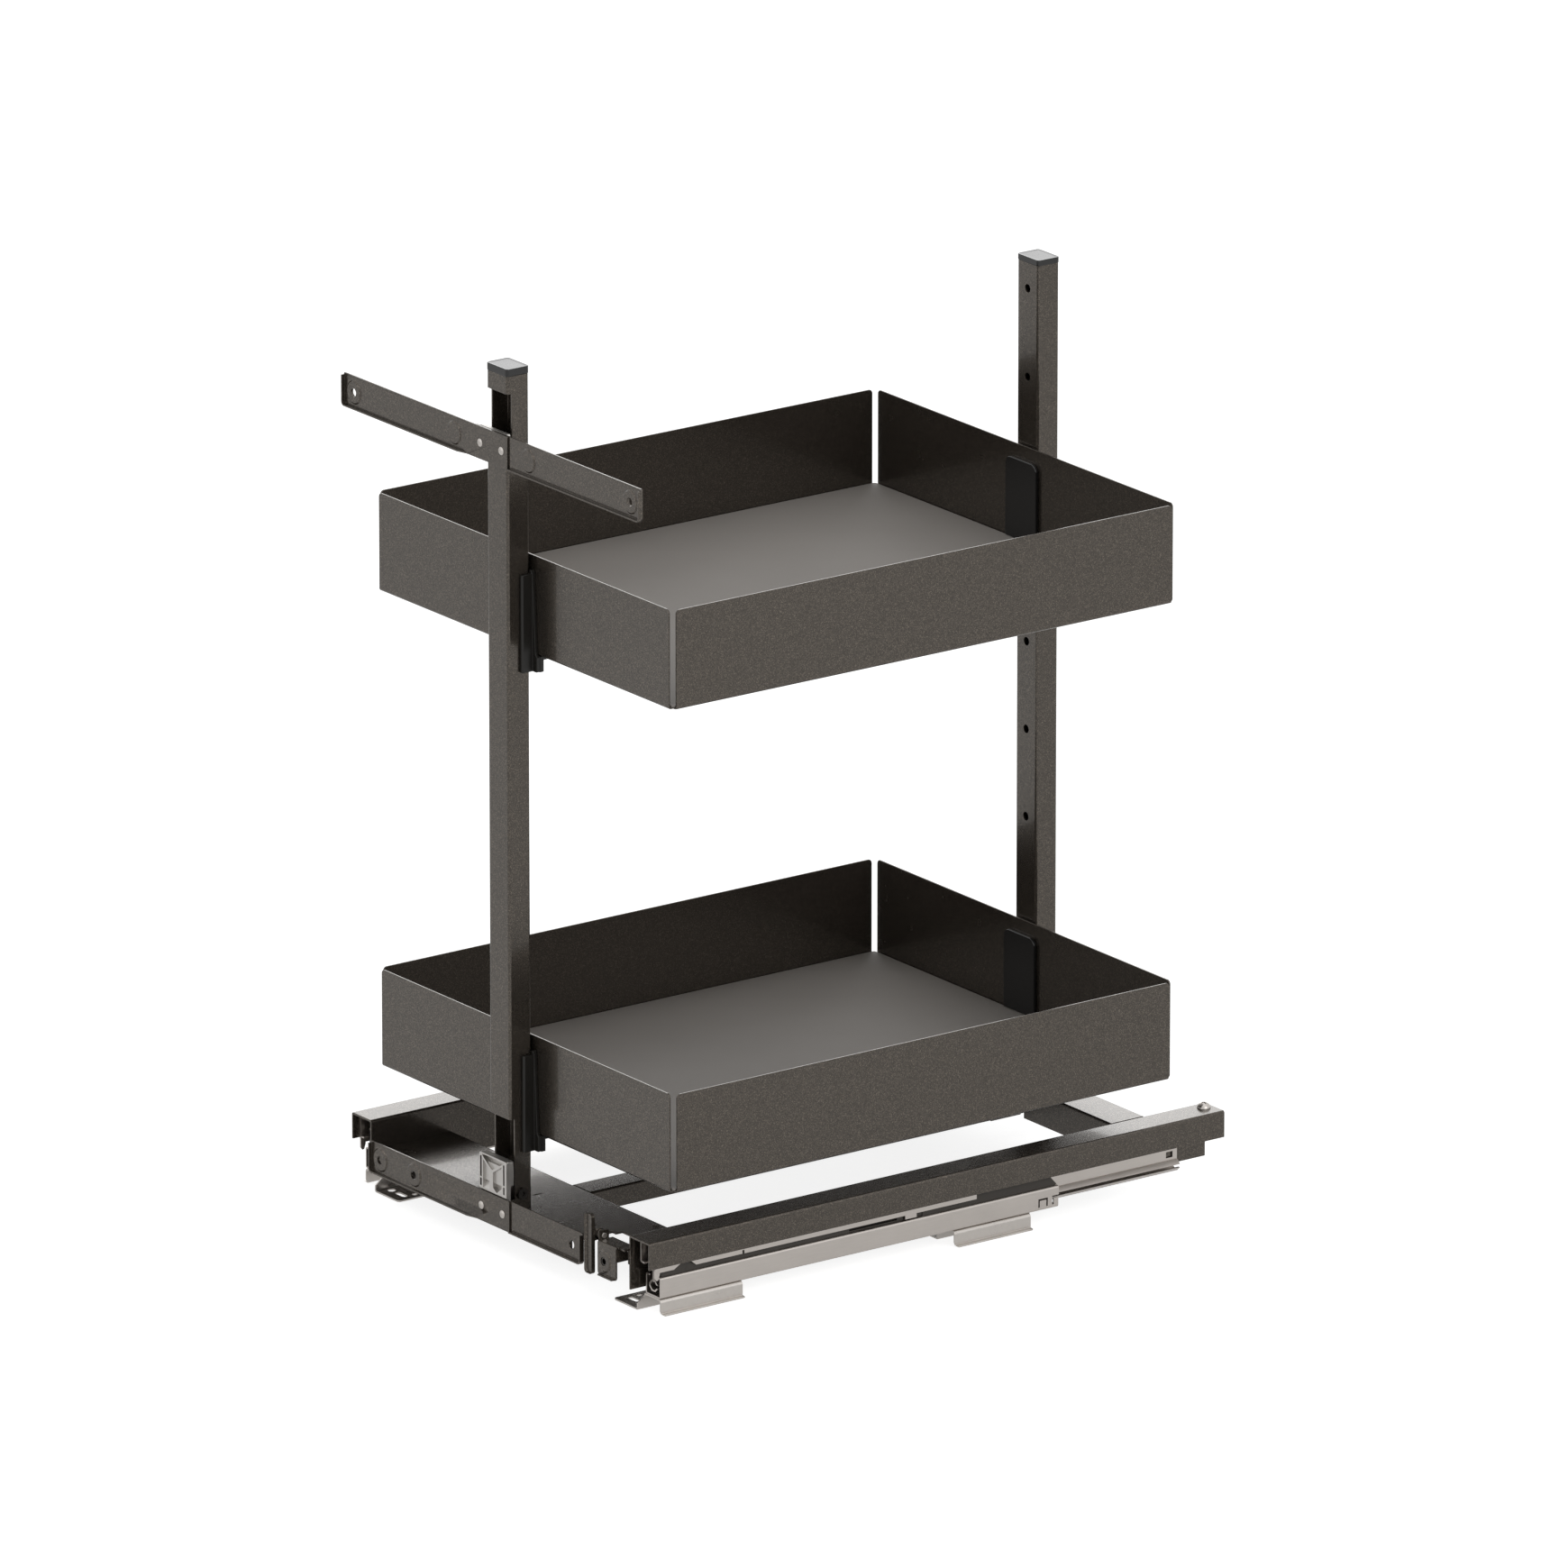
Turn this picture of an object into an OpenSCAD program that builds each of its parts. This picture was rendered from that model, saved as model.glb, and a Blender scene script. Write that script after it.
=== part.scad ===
// Pull-out pantry frame, two trays on two ball runners. Millimetres.
// X right, Y to the back, Z up. Origin: centre of the four floor slots.

/* [Frame] */
// Width over the two cover channels
frame_w = 355.2; // [345:0.2:375]
// Length of the cover channels
cover_l = 492.9; // [480:0.1:520]
// Height of the front post above the cross plate
front_post_h = 599.3; // [560:0.1:800]
// Height of the rear post above the beam
rear_post_h = 601.3; // [560:0.1:800]

/* [Trays] */
// Tray width
tray_w = 350.2; // [330:0.2:354]
// Height of the tray walls
tray_h = 70.9; // [50:0.1:90]
// Underside of the upper tray above the cabinet floor
upper_tray_z = 431.1; // [300:0.1:520]
// Thickness of the tray sheet
tray_t = 1.2; // [1:0.1:1.5]
// Thickness of the mat
mat_t = 1.5; // [1:0.1:3]

/* [Door bars] */
// Width of the upper door bar
upper_bar_w = 349.8; // [300:0.2:360]
// Height of the upper door bar
upper_bar_h = 23.5; // [20:0.5:26]
// Underside of the upper door bar above the cabinet floor
upper_bar_z = 568.9; // [566:0.1:590]

/* [Runners] */
// Length of each cabinet rail
rail_l = 340; // [330:1:345]
// Ball radius
ball_r = 2; // [1.8:0.1:2.1]
// Balls in each row
row_balls = 6; // [4:1:6]

/* [Hidden] */
$fn = 48;
fit = 0.3;
ball_fit = 0.15;
half_w = frame_w / 2;
sheet = 1.5;
rail_t = 1.3;
bend_r = 1.5;
slot_dx = half_w - 38.6;
slot_dy = 128;

// Cover channel, the long folded cover on each side
cover_w = 23.8;
cover_x1 = half_w;
cover_x0 = half_w - cover_w;
cover_y0 = -142.7;
cover_y1 = cover_y0 + cover_l;
cover_top = 54.3;
cover_out_z = 34.9;
cover_in_z = 15.3;

// Rails, one above the other inside the cover
rail_x1 = cover_x1 - sheet;
rail_x0 = rail_x1 - 17.4;
rail_mid = (rail_x0 + rail_x1) / 2;
rail_y0 = -132.3;
rail_y1 = rail_y0 + rail_l;
rail_z0 = 11.7;
rail_z1 = 27.2;
rail_lip = 3.6;
run_x0 = rail_x0 + rail_t;
run_x1 = rail_x1 - rail_t;
run_low0 = rail_z0 + rail_t;
run_low1 = rail_z1 - rail_t;
drawer_top = cover_top - sheet;
drawer_lip_z = 35.2;
skirt_z = 31.1;
skirt_y1 = 136.8;
tab_y0 = 75.5;
tab_y1 = 85.3;
tab_h = 2.8;
skirt_cut = [-121.7, -115, -106.5, -101.5];
nose_h = 5.5;
drawer_y0 = -137;
drawer_y1 = cover_y1 - 2;
run_up0 = drawer_lip_z + rail_t;
run_up1 = drawer_top - rail_t;
middle_y0 = rail_y0 + 0.3;
middle_y1 = drawer_y1 - 23.2;
latch_z = rail_z1 + 3.3;
head_gap = 2.3;
neck_w = 2.6;
ball_off = ball_r + ball_fit;
cage_t = 1.1;
cage_y0 = 19;
ball_pitch = 24;
cage_l = row_balls * ball_pitch + 6;
rail_hole_y = [-75, 150];
cover_screw_x = rail_x0 + 4.7;
cover_screw_y = cover_y1 - 7.5;

// Corner cut of a rail head, so that the ball sits on a 45 degree face
head_cut = (ball_off - head_gap) + ball_off + ball_off * (sqrt(2) - 1) + 0.14;

// Floor brackets under the cabinet rails
bracket_x0 = half_w - 49.3;
bracket_wall_x = rail_x0 - 1.6;
bracket_lip_x = half_w + 1.5;
bracket_tops = rail_z0;
front_flange_y = rail_y0 - 5.5;
upright_h = 5;
upright_slant = 8;
front_bracket_y1 = 65 - slot_dy;
rear_bracket_y0 = slot_dy - 10.4;
rear_bracket_y1 = slot_dy + 55.2;

// Cross plate, beam and rear cross member
plate_top = 32.6;
plate_y0 = -140.7;
plate_y1 = -72.9;
notch_x0 = cover_x0 - 65.8;
notch_y1 = -104.3;
plate_flange = 10;
slit_x = -7.6;
slit_y = [-108.4, -100.7];
beam_w = 22.4;
beam_z0 = 17.7;
member_y0 = 268.3;
member_y1 = 298.2;
member_z0 = 31.3;
member_gap = 53.4;

// Posts
post_w = 24.3;
post_d = 18.3;
post_r = 2;
post_t = 1.5;
front_post_y = -141.9;
rear_post_y = 309;
window_d = 4;
window_low = [40, 98.6];
window_high = [567, 619.3];
hole_pitch = 64;
hole_z0 = 231.4;
hole_count = 7;
hole_r = 3;
cap_lip = 0.3;
socket_y = 5.8;
socket_h = 30;
foot_screw_y = 9.3;
foot_screw_z = plate_top + 11.6;

// Trays
tray_y0 = -121.1;
tray_y1 = 307.1;
lower_tray_z = 85.4;
tray_gap = 3.8;
tray_r = 2;
tray_corner = 3;
peg_r = 1.7;
peg_dx = 9;
peg_z = 20;
holder_peg_z = 56.3;
clamp_w = 35.6;
clamp_t = 2.8;
clamp_top = 61;
holder_t = 3.2;
holder_reach = 8.8;
holder_h = 59;
foot_w = 40.8;
foot_under = 3.4;
tongue_w = 28;
foot_h = 11.3;
foot_in = 13;

// Door bars and their sliders
bar_t = 1.2;
arm_overlap = 19.6;
upper_bar_y = -147.3;
lower_bar_y = -149;
lower_bar_z0 = 20.8;
lower_bar_z1 = 43.4;
lower_bar_x0 = 8.3 - cover_x0;
lower_bar_x1 = cover_x0 - 47.6;
arm_r = 3;
lip_d = 2.5;
lip_run = 9;
upper_lip_x1 = -28;
lower_lip_x1 = -18;
boss_r = 7.4;
boss_h = 0.9;
boss_slope = 1.1;
door_hole_r = 3;
low_hole_dx = lower_bar_x1 - 13.2;
low_hole_x = [lower_bar_x0 + 11.9, -low_hole_dx];
rivet_dx = 12.5;
rivet_r = 2;
rivet_head_r = 2.9;
rivet_head_h = 1;
slider_w = 32.2;
slider_y1 = front_post_y - fit;
slider_top = 70.3;
node_z = lower_bar_z1 + 14.4;
slider_taper = [node_z - 7.8, node_z + 0.2];
slider_lean = 2.1;
lug_w = 23.6;
lug_d = 3.6;
keeper_w = 19.6;

// Lever and side adjuster
lever_x0 = cover_x0 - 42.2;
lever_x1 = lever_x0 + 8.8;
lever_z0 = 16;
lever_z1 = 59;
lever_y0 = -150.6;
lever_t = 1.4;
pin_y = -143.2;
pin_z = 46.5;
pin_r = 2;
hex_x0 = cover_x0 - 28.5;
hex_x1 = cover_x0 - 7;
hex_z0 = 19.9;
hex_z1 = 44.3;
hex_y0 = -149;
hex_y1 = hex_y0 + 13;
hex_ear_y1 = hex_y0 + 10;
screw_x = hex_x0 + 8.2;
screw_z = 31.1;
screw_r = 3;
hex_boss_r = 6.8;
hex_lip_d = 2;
nut_y0 = notch_y1 - 6.7;
nut_w = 13;
nut_h = 12;

// Soft-close unit
damper_x0 = rail_mid + neck_w / 2 + 0.9;
damper_x1 = run_x1 - 0.6;
damper_y0 = rail_y0 + 2.3;
damper_y1 = 130;
damper_z0 = rail_z1;
damper_z1 = drawer_lip_z - 0.6;
catch_y0 = 70;
catch_y1 = 91;
catch_run = 40;

// Helpers
module box(x0, x1, y0, y1, z0, z1) {
  translate([x0, y0, z0]) cube([x1 - x0, y1 - y0, z1 - z0]);
}

module along_y(y0, y1) {
  translate([0, y1, 0]) rotate([90, 0, 0]) linear_extrude(y1 - y0) children();
}

module along_x(x0, x1) {
  translate([x0, 0, 0]) rotate([90, 0, 90]) linear_extrude(x1 - x0) children();
}

module along_z(z0, z1) {
  translate([0, 0, z0]) linear_extrude(z1 - z0) children();
}

module rect(x0, y0, x1, y1) {
  translate([x0, y0]) square([x1 - x0, y1 - y0]);
}

module rrect(x0, y0, x1, y1, r) {
  rect(x0 + r, y0, x1 - r, y1);
  rect(x0, y0 + r, x1, y1 - r);
  for (x = [x0 + r, x1 - r]) for (y = [y0 + r, y1 - r]) translate([x, y]) circle(r);
}

module rod_x(x0, x1, y, z, r) {
  translate([x0, y, z]) rotate([0, 90, 0]) cylinder(h = x1 - x0, r = r);
}

module rod_y(y0, y1, x, z, r) {
  translate([x, y1, z]) rotate([90, 0, 0]) cylinder(h = y1 - y0, r = r);
}

module rod_z(z0, z1, x, y, r) {
  translate([x, y, z0]) cylinder(h = z1 - z0, r = r);
}

module on_side(s) {
  if (s < 0) mirror([1, 0, 0]) children();
  else children();
}

// Floor bracket: slotted floor flange, upright wall, table under the rail, outer leg
module bracket(y_slot, y_front, y0, y1) {
  color("silver") difference() {
    union() {
      along_z(0, rail_t) rrect(bracket_x0, y_front, bracket_wall_x + 4, y1, 4);
      along_x(bracket_wall_x - rail_t, bracket_wall_x) polygon([[y_front, 0], [y1, 0],
        [y1, bracket_tops], [y_front + upright_slant, bracket_tops], [y_front, upright_h]]);
      box(bracket_wall_x - rail_t, rail_x1, y0 + 6, y1, bracket_tops - rail_t, bracket_tops);
      box(rail_x1 - rail_t, rail_x1, y0, y1, 1, bracket_tops);
      along_y(y0, y1) rrect(rail_x1 - rail_t, 0, bracket_lip_x, 2, 0.9);
    }
    box(bracket_wall_x, bracket_wall_x + 5, y_front - 1, y1 + 1, -1, rail_t + 0.1);
    along_z(-1, 3) rrect(slot_dx - 5.85, y_slot - 2.2, slot_dx + 5.85, y_slot + 2.2, 2.19);
    rod_z(-1, 3, slot_dx + 11.7, y_slot, 3);
    rod_z(-1, 3, slot_dx - 4.9, y_slot + 7.8, 2);
  }
}

// Cabinet rail: U section with two turned-in lips
module rail_u() {
  difference() {
    rrect(rail_x0, rail_z0, rail_x1, rail_z1, bend_r);
    rrect(run_x0, run_low0, run_x1, run_low1, 0.4);
    rect(run_x0 + rail_lip, run_low1 - 1, run_x1 - rail_lip, rail_z1 + 1);
  }
}

module cabinet_rail() {
  color("silver") difference() {
    along_y(rail_y0, rail_y1) rail_u();
    // chamfer of the front upper corner and openings at the rear end
    translate([0, rail_y0, rail_z1]) rotate([45, 0, 0]) box(rail_x0 - 1, rail_x1 + 1, -3, 3, -2, 2);
    box(run_x1 - 1, rail_x1 + 1, rail_y1 - 19.7, rail_y1 - 6, 15, 21.1);
    box(run_x1 - 1, rail_x1 + 1, rail_y1 - 5.7, rail_y1 + 1, rail_z0 - 1, 16.5);
    // screw holes to the brackets
    for (y = rail_hole_y) rod_z(rail_z0 - 1, run_low0 + 1, rail_mid, y, 2.1);
  }
}

// Middle rail: two eight-sided heads joined by a neck, each head open on the outside
module head(z0, z1, t) {
  x0 = run_x0 + head_gap + t;
  x1 = run_x1 - head_gap - t;
  c = head_cut - t * (2 - sqrt(2));
  polygon([[x0 + c, z0], [x1 - c, z0], [x1, z0 + c], [x1, z1 - c],
    [x1 - c, z1], [x0 + c, z1], [x0, z1 - c], [x0, z0 + c]]);
}

module middle_section() {
  low0 = run_low0 + head_gap;
  low1 = run_low1 - head_gap;
  up0 = run_up0 + head_gap;
  up1 = run_up1 - head_gap;
  difference() {
    union() {
      head(low0, low1, 0);
      head(up0, up1, 0);
      rect(rail_mid - neck_w / 2, low1 - 1, rail_mid + neck_w / 2, up0 + 1);
    }
    head(low0 + rail_t, low1 - rail_t, rail_t);
    head(up0 + rail_t, up1 - rail_t, rail_t);
    rect(rail_mid + 2.5, low0 + head_cut, run_x1, low1 - head_cut);
    rect(rail_mid + 2.5, up0 + head_cut, run_x1, up1 - head_cut);
  }
}

module middle_rail() {
  color("gainsboro") difference() {
    along_y(middle_y0, middle_y1) middle_section();
    // latch slots in the rear end of the neck and of the lower head
    box(rail_mid - 5, rail_mid + 5, middle_y1 - 103, middle_y1 - 49, latch_z - 2.5, latch_z + 2.5);
    box(rail_mid - 5, rail_mid + 5, middle_y1 - 29, middle_y1 - 21, latch_z - 3.5, latch_z + 3.5);
    rod_x(rail_mid - 5, rail_mid + 5, middle_y1 - 11, latch_z, 2.2);
  }
}

// Ball cage and its four rows of balls
module rows(z0, z1) {
  for (i = [0 : row_balls - 1]) {
    y = cage_y0 + 3 + ball_pitch * (i + 0.5);
    for (x = [run_x0 + ball_off, run_x1 - ball_off]) for (z = [z0 + ball_off, z1 - ball_off])
      translate([x, y, z]) children();
  }
}

module cage(z0, z1, open_top) {
  g = (head_gap - cage_t) / 2;
  base0 = open_top ? z0 + g : z1 - g - cage_t;
  side0 = open_top ? z0 + g : z0 + ball_off - 1.2;
  side1 = open_top ? z1 - ball_off + 1.2 : z1 - g;
  color("white") difference() {
    union() {
      box(run_x0 + g, run_x1 - g, cage_y0, cage_y0 + cage_l, base0, base0 + cage_t);
      box(run_x0 + g, run_x0 + g + cage_t, cage_y0, cage_y0 + cage_l, side0, side1);
      box(run_x1 - g - cage_t, run_x1 - g, cage_y0, cage_y0 + cage_l, side0, side1);
    }
    rows(z0, z1) cube([ball_r * 2 + 0.5, ball_r * 2 + 0.5, ball_r * 2 + 0.5], center = true);
  }
}

module balls(z0, z1) {
  color("lightsteelblue") rows(z0, z1) sphere(r = ball_r, $fn = 16);
}

// Drawer rail: inverted C under the cover, with a deep outer skirt and a catch tab
module drawer_section() {
  difference() {
    rrect(rail_x0, drawer_lip_z, rail_x1, drawer_top, bend_r);
    rrect(run_x0, run_up0, run_x1, run_up1, 0.4);
    rect(run_x0 + rail_lip, drawer_lip_z - 1, run_x1 - rail_lip, run_up0 + 1);
  }
}

module drawer_rail() {
  color("silver") difference() {
    union() {
      along_y(drawer_y0, drawer_y1) drawer_section();
      along_x(run_x1, rail_x1) difference() {
        union() {
          rect(drawer_y0, skirt_z, skirt_y1, drawer_lip_z + 2);
          polygon([[drawer_y0, skirt_z + 1], [drawer_y0, skirt_z - nose_h + 2],
            [drawer_y0 + 1.6, skirt_z - nose_h], [drawer_y0 + 3, skirt_z - nose_h + 0.6],
            [drawer_y0 + 4.2, skirt_z - 1], [drawer_y0 + 4.2, skirt_z + 1]]);
        }
        polygon([[skirt_cut[0], skirt_z - 1], [skirt_cut[1], drawer_lip_z - 0.6],
          [skirt_cut[2], drawer_lip_z - 0.6], [skirt_cut[3], skirt_z - 1]]);
      }
      box(run_x1, rail_x1, tab_y0, tab_y1, skirt_z - tab_h, skirt_z + 1);
    }
    box(run_x1 - 1, rail_x1 + 1, -63, -61.4, skirt_z - 1, skirt_z + 2.6);
    rod_z(run_up1 - 1, drawer_top + 1, cover_screw_x, cover_screw_y, 2.2);
  }
}

module cover() {
  color("dimgray") difference() {
    along_y(cover_y0, cover_y1) difference() {
      rrect(cover_x0, cover_in_z - 6, cover_x1, cover_top, bend_r);
      rrect(cover_x0 + sheet, cover_in_z - 9, cover_x1 - sheet, cover_top - sheet, 0.3);
      rect(cover_x0 - 1, cover_in_z - 10, cover_x1 + 1, cover_in_z);
      rect(cover_x0 + sheet, cover_in_z - 1, cover_x1 + 1, cover_out_z);
    }
    rod_z(cover_top - sheet - 1, cover_top + 1, cover_screw_x, cover_screw_y, 2.2);
  }
}

module cover_screw() {
  x = cover_screw_x;
  y = cover_screw_y;
  difference() {
    union() {
      rod_z(run_up1 - 0.5, cover_top, x, y, 2.1);
      rod_z(cover_top, cover_top + 2, x, y, 4.9);
      translate([x, y, cover_top + 2]) cylinder(h = 1.9, r1 = 4.9, r2 = 2.6);
    }
    box(x - 3, x + 3, y - 0.5, y + 0.5, cover_top + 2.6, cover_top + 5);
    box(x - 0.5, x + 0.5, y - 3, y + 3, cover_top + 2.6, cover_top + 5);
  }
}

// Soft-close unit on the rail and its catch
module damper() {
  color("black") difference() {
    union() {
      box(damper_x0, damper_x1, damper_y0, damper_y1, damper_z0, damper_z1);
      box(damper_x1 - 1, run_x1 - fit, damper_y0, damper_y0 + 20, damper_z0, damper_z1);
    }
    box(damper_x0 + 1, rail_x1, catch_y0 - catch_run - 1, catch_y1 + 0.5, damper_z0 + 1, damper_z1 + 1);
    box(damper_x1 - 0.8, rail_x1, catch_y0 - catch_run - 1, catch_y1 + 0.5, damper_z0 - 1, damper_z1 + 1);
  }
}

module catch() {
  x0 = damper_x0 + 1 + fit;
  x1 = damper_x1 - 0.3;
  z0 = damper_z0 + 1 + fit;
  color("black") difference() {
    box(x0, x1, catch_y0, catch_y1, z0, damper_z1 - fit);
    box(x1 - 1.2, x1 + 1, tab_y0 - 0.3, tab_y1 + 0.3, z0 - 1, skirt_z + 1);
  }
}

// Plate, beam and rear member of the carriage
module front_cross_plate() {
  color("dimgray") difference() {
    union() {
      box(-cover_x0, cover_x0, plate_y0, plate_y1, plate_top - sheet, plate_top);
      box(-cover_x0, notch_x0 - 4.6, plate_y0, plate_y0 + sheet, plate_top - plate_flange, plate_top);
      box(-cover_x0, cover_x0, plate_y1 - sheet, plate_y1, plate_top - plate_flange, plate_top);
      box(-cover_x0, -cover_x0 + sheet, plate_y0, plate_y1, plate_top - plate_flange, plate_top);
      box(cover_x0 - sheet, cover_x0, notch_y1, plate_y1, plate_top - plate_flange, plate_top);
      rod_z(plate_top - 1, plate_top + 0.6, notch_x0 + 7.5, plate_y1 - 5.2, 2.5);
    }
    box(slit_x - 0.6, slit_x + 0.6, slit_y[0], slit_y[1], plate_top - sheet - 1, plate_top + 1);
    box(notch_x0, cover_x0 + 1, plate_y0 - 1, notch_y1 - 5.4, plate_top - plate_flange - 2, plate_top + 1);
    box(notch_x0 + 4, cover_x0 + 1, notch_y1 - 6, notch_y1, plate_top - plate_flange - 2, plate_top + 1);
  }
}

module centre_beam() {
  color("dimgray") along_y(plate_y1, rear_post_y + post_d) difference() {
    rrect(-beam_w / 2, beam_z0 - 6, beam_w / 2, plate_top, bend_r);
    rrect(-beam_w / 2 + sheet, beam_z0 - 9, beam_w / 2 - sheet, plate_top - sheet, 0.3);
    rect(-beam_w, beam_z0 - 10, beam_w, beam_z0);
  }
}

module rear_cross_member() {
  color("dimgray") {
    box(-cover_x0, cover_x0, member_y0, member_y1, cover_top - sheet, cover_top);
    for (s = [-1, 1]) on_side(s) {
      box(member_gap, cover_x0, member_y0, member_y0 + sheet, member_z0, cover_top - sheet);
      box(member_gap, cover_x0, member_y1 - sheet, member_y1, member_z0, cover_top - sheet);
      box(beam_w / 2, beam_w / 2 + sheet, member_y0 + 2, member_y1 - 2, beam_z0, cover_top - sheet);
    }
  }
}

// Posts with caps and sockets
module tube(y0, z0, z1) {
  along_z(z0, z1) difference() {
    rrect(-post_w / 2, y0, post_w / 2, y0 + post_d, post_r);
    rrect(-post_w / 2 + post_t, y0 + post_t, post_w / 2 - post_t, y0 + post_d - post_t, 0.6);
  }
}

module front_post() {
  color("dimgray") difference() {
    tube(front_post_y, plate_top, plate_top + front_post_h);
    for (w = [window_low, window_high])
      box(-post_w, post_w, front_post_y - 1, front_post_y + window_d, w[0], w[1]);
    for (z = [lower_tray_z, upper_tray_z]) rod_y(front_post_y + post_d - 3, tray_y0, 0,
      z + holder_peg_z, hole_r);
    rod_x(-post_w, post_w, front_post_y + foot_screw_y, foot_screw_z, 2.1);
  }
}

module rear_post() {
  color("dimgray") difference() {
    tube(rear_post_y, plate_top, plate_top + rear_post_h);
    for (i = [0 : hole_count - 1]) rod_y(tray_y1, rear_post_y + 3, 0, hole_z0 + i * hole_pitch, hole_r);
    for (z = [lower_tray_z, upper_tray_z]) rod_y(tray_y1, rear_post_y + 3, 0, z + holder_peg_z, hole_r);
    rod_x(-post_w, post_w, rear_post_y + foot_screw_y, foot_screw_z, 2.1);
  }
}

module cap(y0, z0, h) {
  color("black") {
    along_z(z0, z0 + h) rrect(-post_w / 2 - cap_lip, y0 - cap_lip, post_w / 2 + cap_lip,
      y0 + post_d + cap_lip, post_r + cap_lip);
    along_z(z0 - 10, z0) rrect(-post_w / 2 + post_t + 0.1, y0 + post_t + 0.1,
      post_w / 2 - post_t - 0.1, y0 + post_d - post_t - 0.1, 1);
  }
}

module socket(y0) {
  g = post_t + 0.1;
  color("silver") difference() {
    along_z(plate_top, plate_top + socket_h) difference() {
      rrect(-post_w / 2 + g, y0 + socket_y, post_w / 2 - g, y0 + post_d - g, 1);
      rrect(-post_w / 2 + g + 2, y0 + socket_y + 2, post_w / 2 - g - 2, y0 + post_d - g - 2, 0.5);
    }
    rod_x(-post_w, post_w, y0 + foot_screw_y, foot_screw_z, 2.1);
  }
}

module foot_screw(y0) {
  for (s = [-1, 1]) on_side(s) {
    rod_x(post_w / 2 - 4, post_w / 2, y0 + foot_screw_y, foot_screw_z, 2);
    difference() {
      rod_x(post_w / 2, post_w / 2 + 2.4, y0 + foot_screw_y, foot_screw_z, 4);
      rod_x(post_w / 2 + 1, post_w / 2 + 3, y0 + foot_screw_y, foot_screw_z, 1.6);
    }
  }
}

// Tray: folded sheet with open corners, drawn at the given height
module tray(z0) {
  x1 = tray_w / 2;
  z1 = z0 + tray_h;
  color("dimgray") difference() {
    union() {
      intersection() {
        along_y(tray_y0 + tray_gap, tray_y1 - tray_gap) difference() {
          rrect(-x1, z0, x1, z1 + 9, tray_r);
          rrect(-x1 + tray_t, z0 + tray_t, x1 - tray_t, z1 + 20, tray_r - tray_t);
        }
        along_x(-x1 - 1, x1 + 1) rrect(tray_y0 + tray_gap, z0 - 9, tray_y1 - tray_gap, z1, tray_corner);
      }
      intersection() {
        along_x(-x1 + tray_gap, x1 - tray_gap) difference() {
          rrect(tray_y0, z0, tray_y1, z1 + 9, tray_r);
          rrect(tray_y0 + tray_t, z0 + tray_t, tray_y1 - tray_t, z1 + 20, tray_r - tray_t);
        }
        along_y(tray_y0 - 1, tray_y1 + 1) rrect(-x1 + tray_gap, z0 - 9, x1 - tray_gap, z1, tray_corner);
      }
    }
    for (x = [-peg_dx, peg_dx]) rod_y(tray_y0 - 1, tray_y1 + 1, x, z0 + peg_z, peg_r + 0.1);
  }
}

module mat(z0) {
  x1 = tray_w / 2 - tray_t - 0.8;
  color("gray") along_z(z0 + tray_t, z0 + tray_t + mat_t)
    rrect(-x1, tray_y0 + tray_t + 0.8, x1, tray_y1 - tray_t - 0.8, 2);
}

// Holder: clip around the post, foot under the tray. Local y 0 is the tray wall
module holder(gap) {
  color("black") difference() {
    union() {
      along_y(0, gap) polygon([[-foot_w / 2, -foot_h + 1], [-foot_w / 2 + 1, -foot_h],
        [foot_w / 2 - 1, -foot_h], [foot_w / 2, -foot_h + 1], [foot_w / 2, -0.5], [foot_w / 2 - 2, 1.5],
        [post_w / 2 + holder_t, holder_h], [-post_w / 2 - holder_t, holder_h],
        [-foot_w / 2 + 2, 1.5], [-foot_w / 2, -0.5]]);
      for (s = [-1, 1]) on_side(s) {
        along_z(-foot_h, holder_h - 0.6) polygon([[post_w / 2 + 0.1, 0], [post_w / 2 + holder_t, 0],
          [post_w / 2 + holder_t, gap + holder_reach - 1], [post_w / 2 + holder_t - 1, gap + holder_reach],
          [post_w / 2 + 0.1, gap + holder_reach]]);
        rod_y(0.2, gap + 1, post_w / 2 + 1.5, holder_h + 0.8, 1.6);
      }
      box(-foot_w / 2, foot_w / 2, -foot_under, 0, -foot_h, 0);
      box(-tongue_w / 2, tongue_w / 2, -foot_in, 0, -foot_h + 6, 0);
      rod_y(gap - 1, gap + post_t + 1, 0, holder_peg_z, hole_r - 0.1);
    }
    for (x = [-peg_dx, peg_dx]) rod_y(-1, gap + 1, x, peg_z, peg_r + 0.1);
  }
}

module clamp_plate(gap) {
  y1 = -tray_t;
  along_y(y1 - clamp_t, y1) intersection() {
    rrect(-clamp_w / 2, -12, clamp_w / 2, clamp_top, 6);
    rect(-clamp_w, tray_t + mat_t + 0.2, clamp_w, clamp_top + 1);
  }
  for (x = [-peg_dx, peg_dx]) rod_y(y1 - 1, gap - 0.2, x, peg_z, peg_r);
}

module at_front(z) {
  translate([0, tray_y0, z]) mirror([0, 1, 0]) children();
}

module at_rear(z) {
  translate([0, tray_y1, z]) children();
}

front_gap = tray_y0 - front_post_y - post_d;
rear_gap = rear_post_y - tray_y1;

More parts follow.
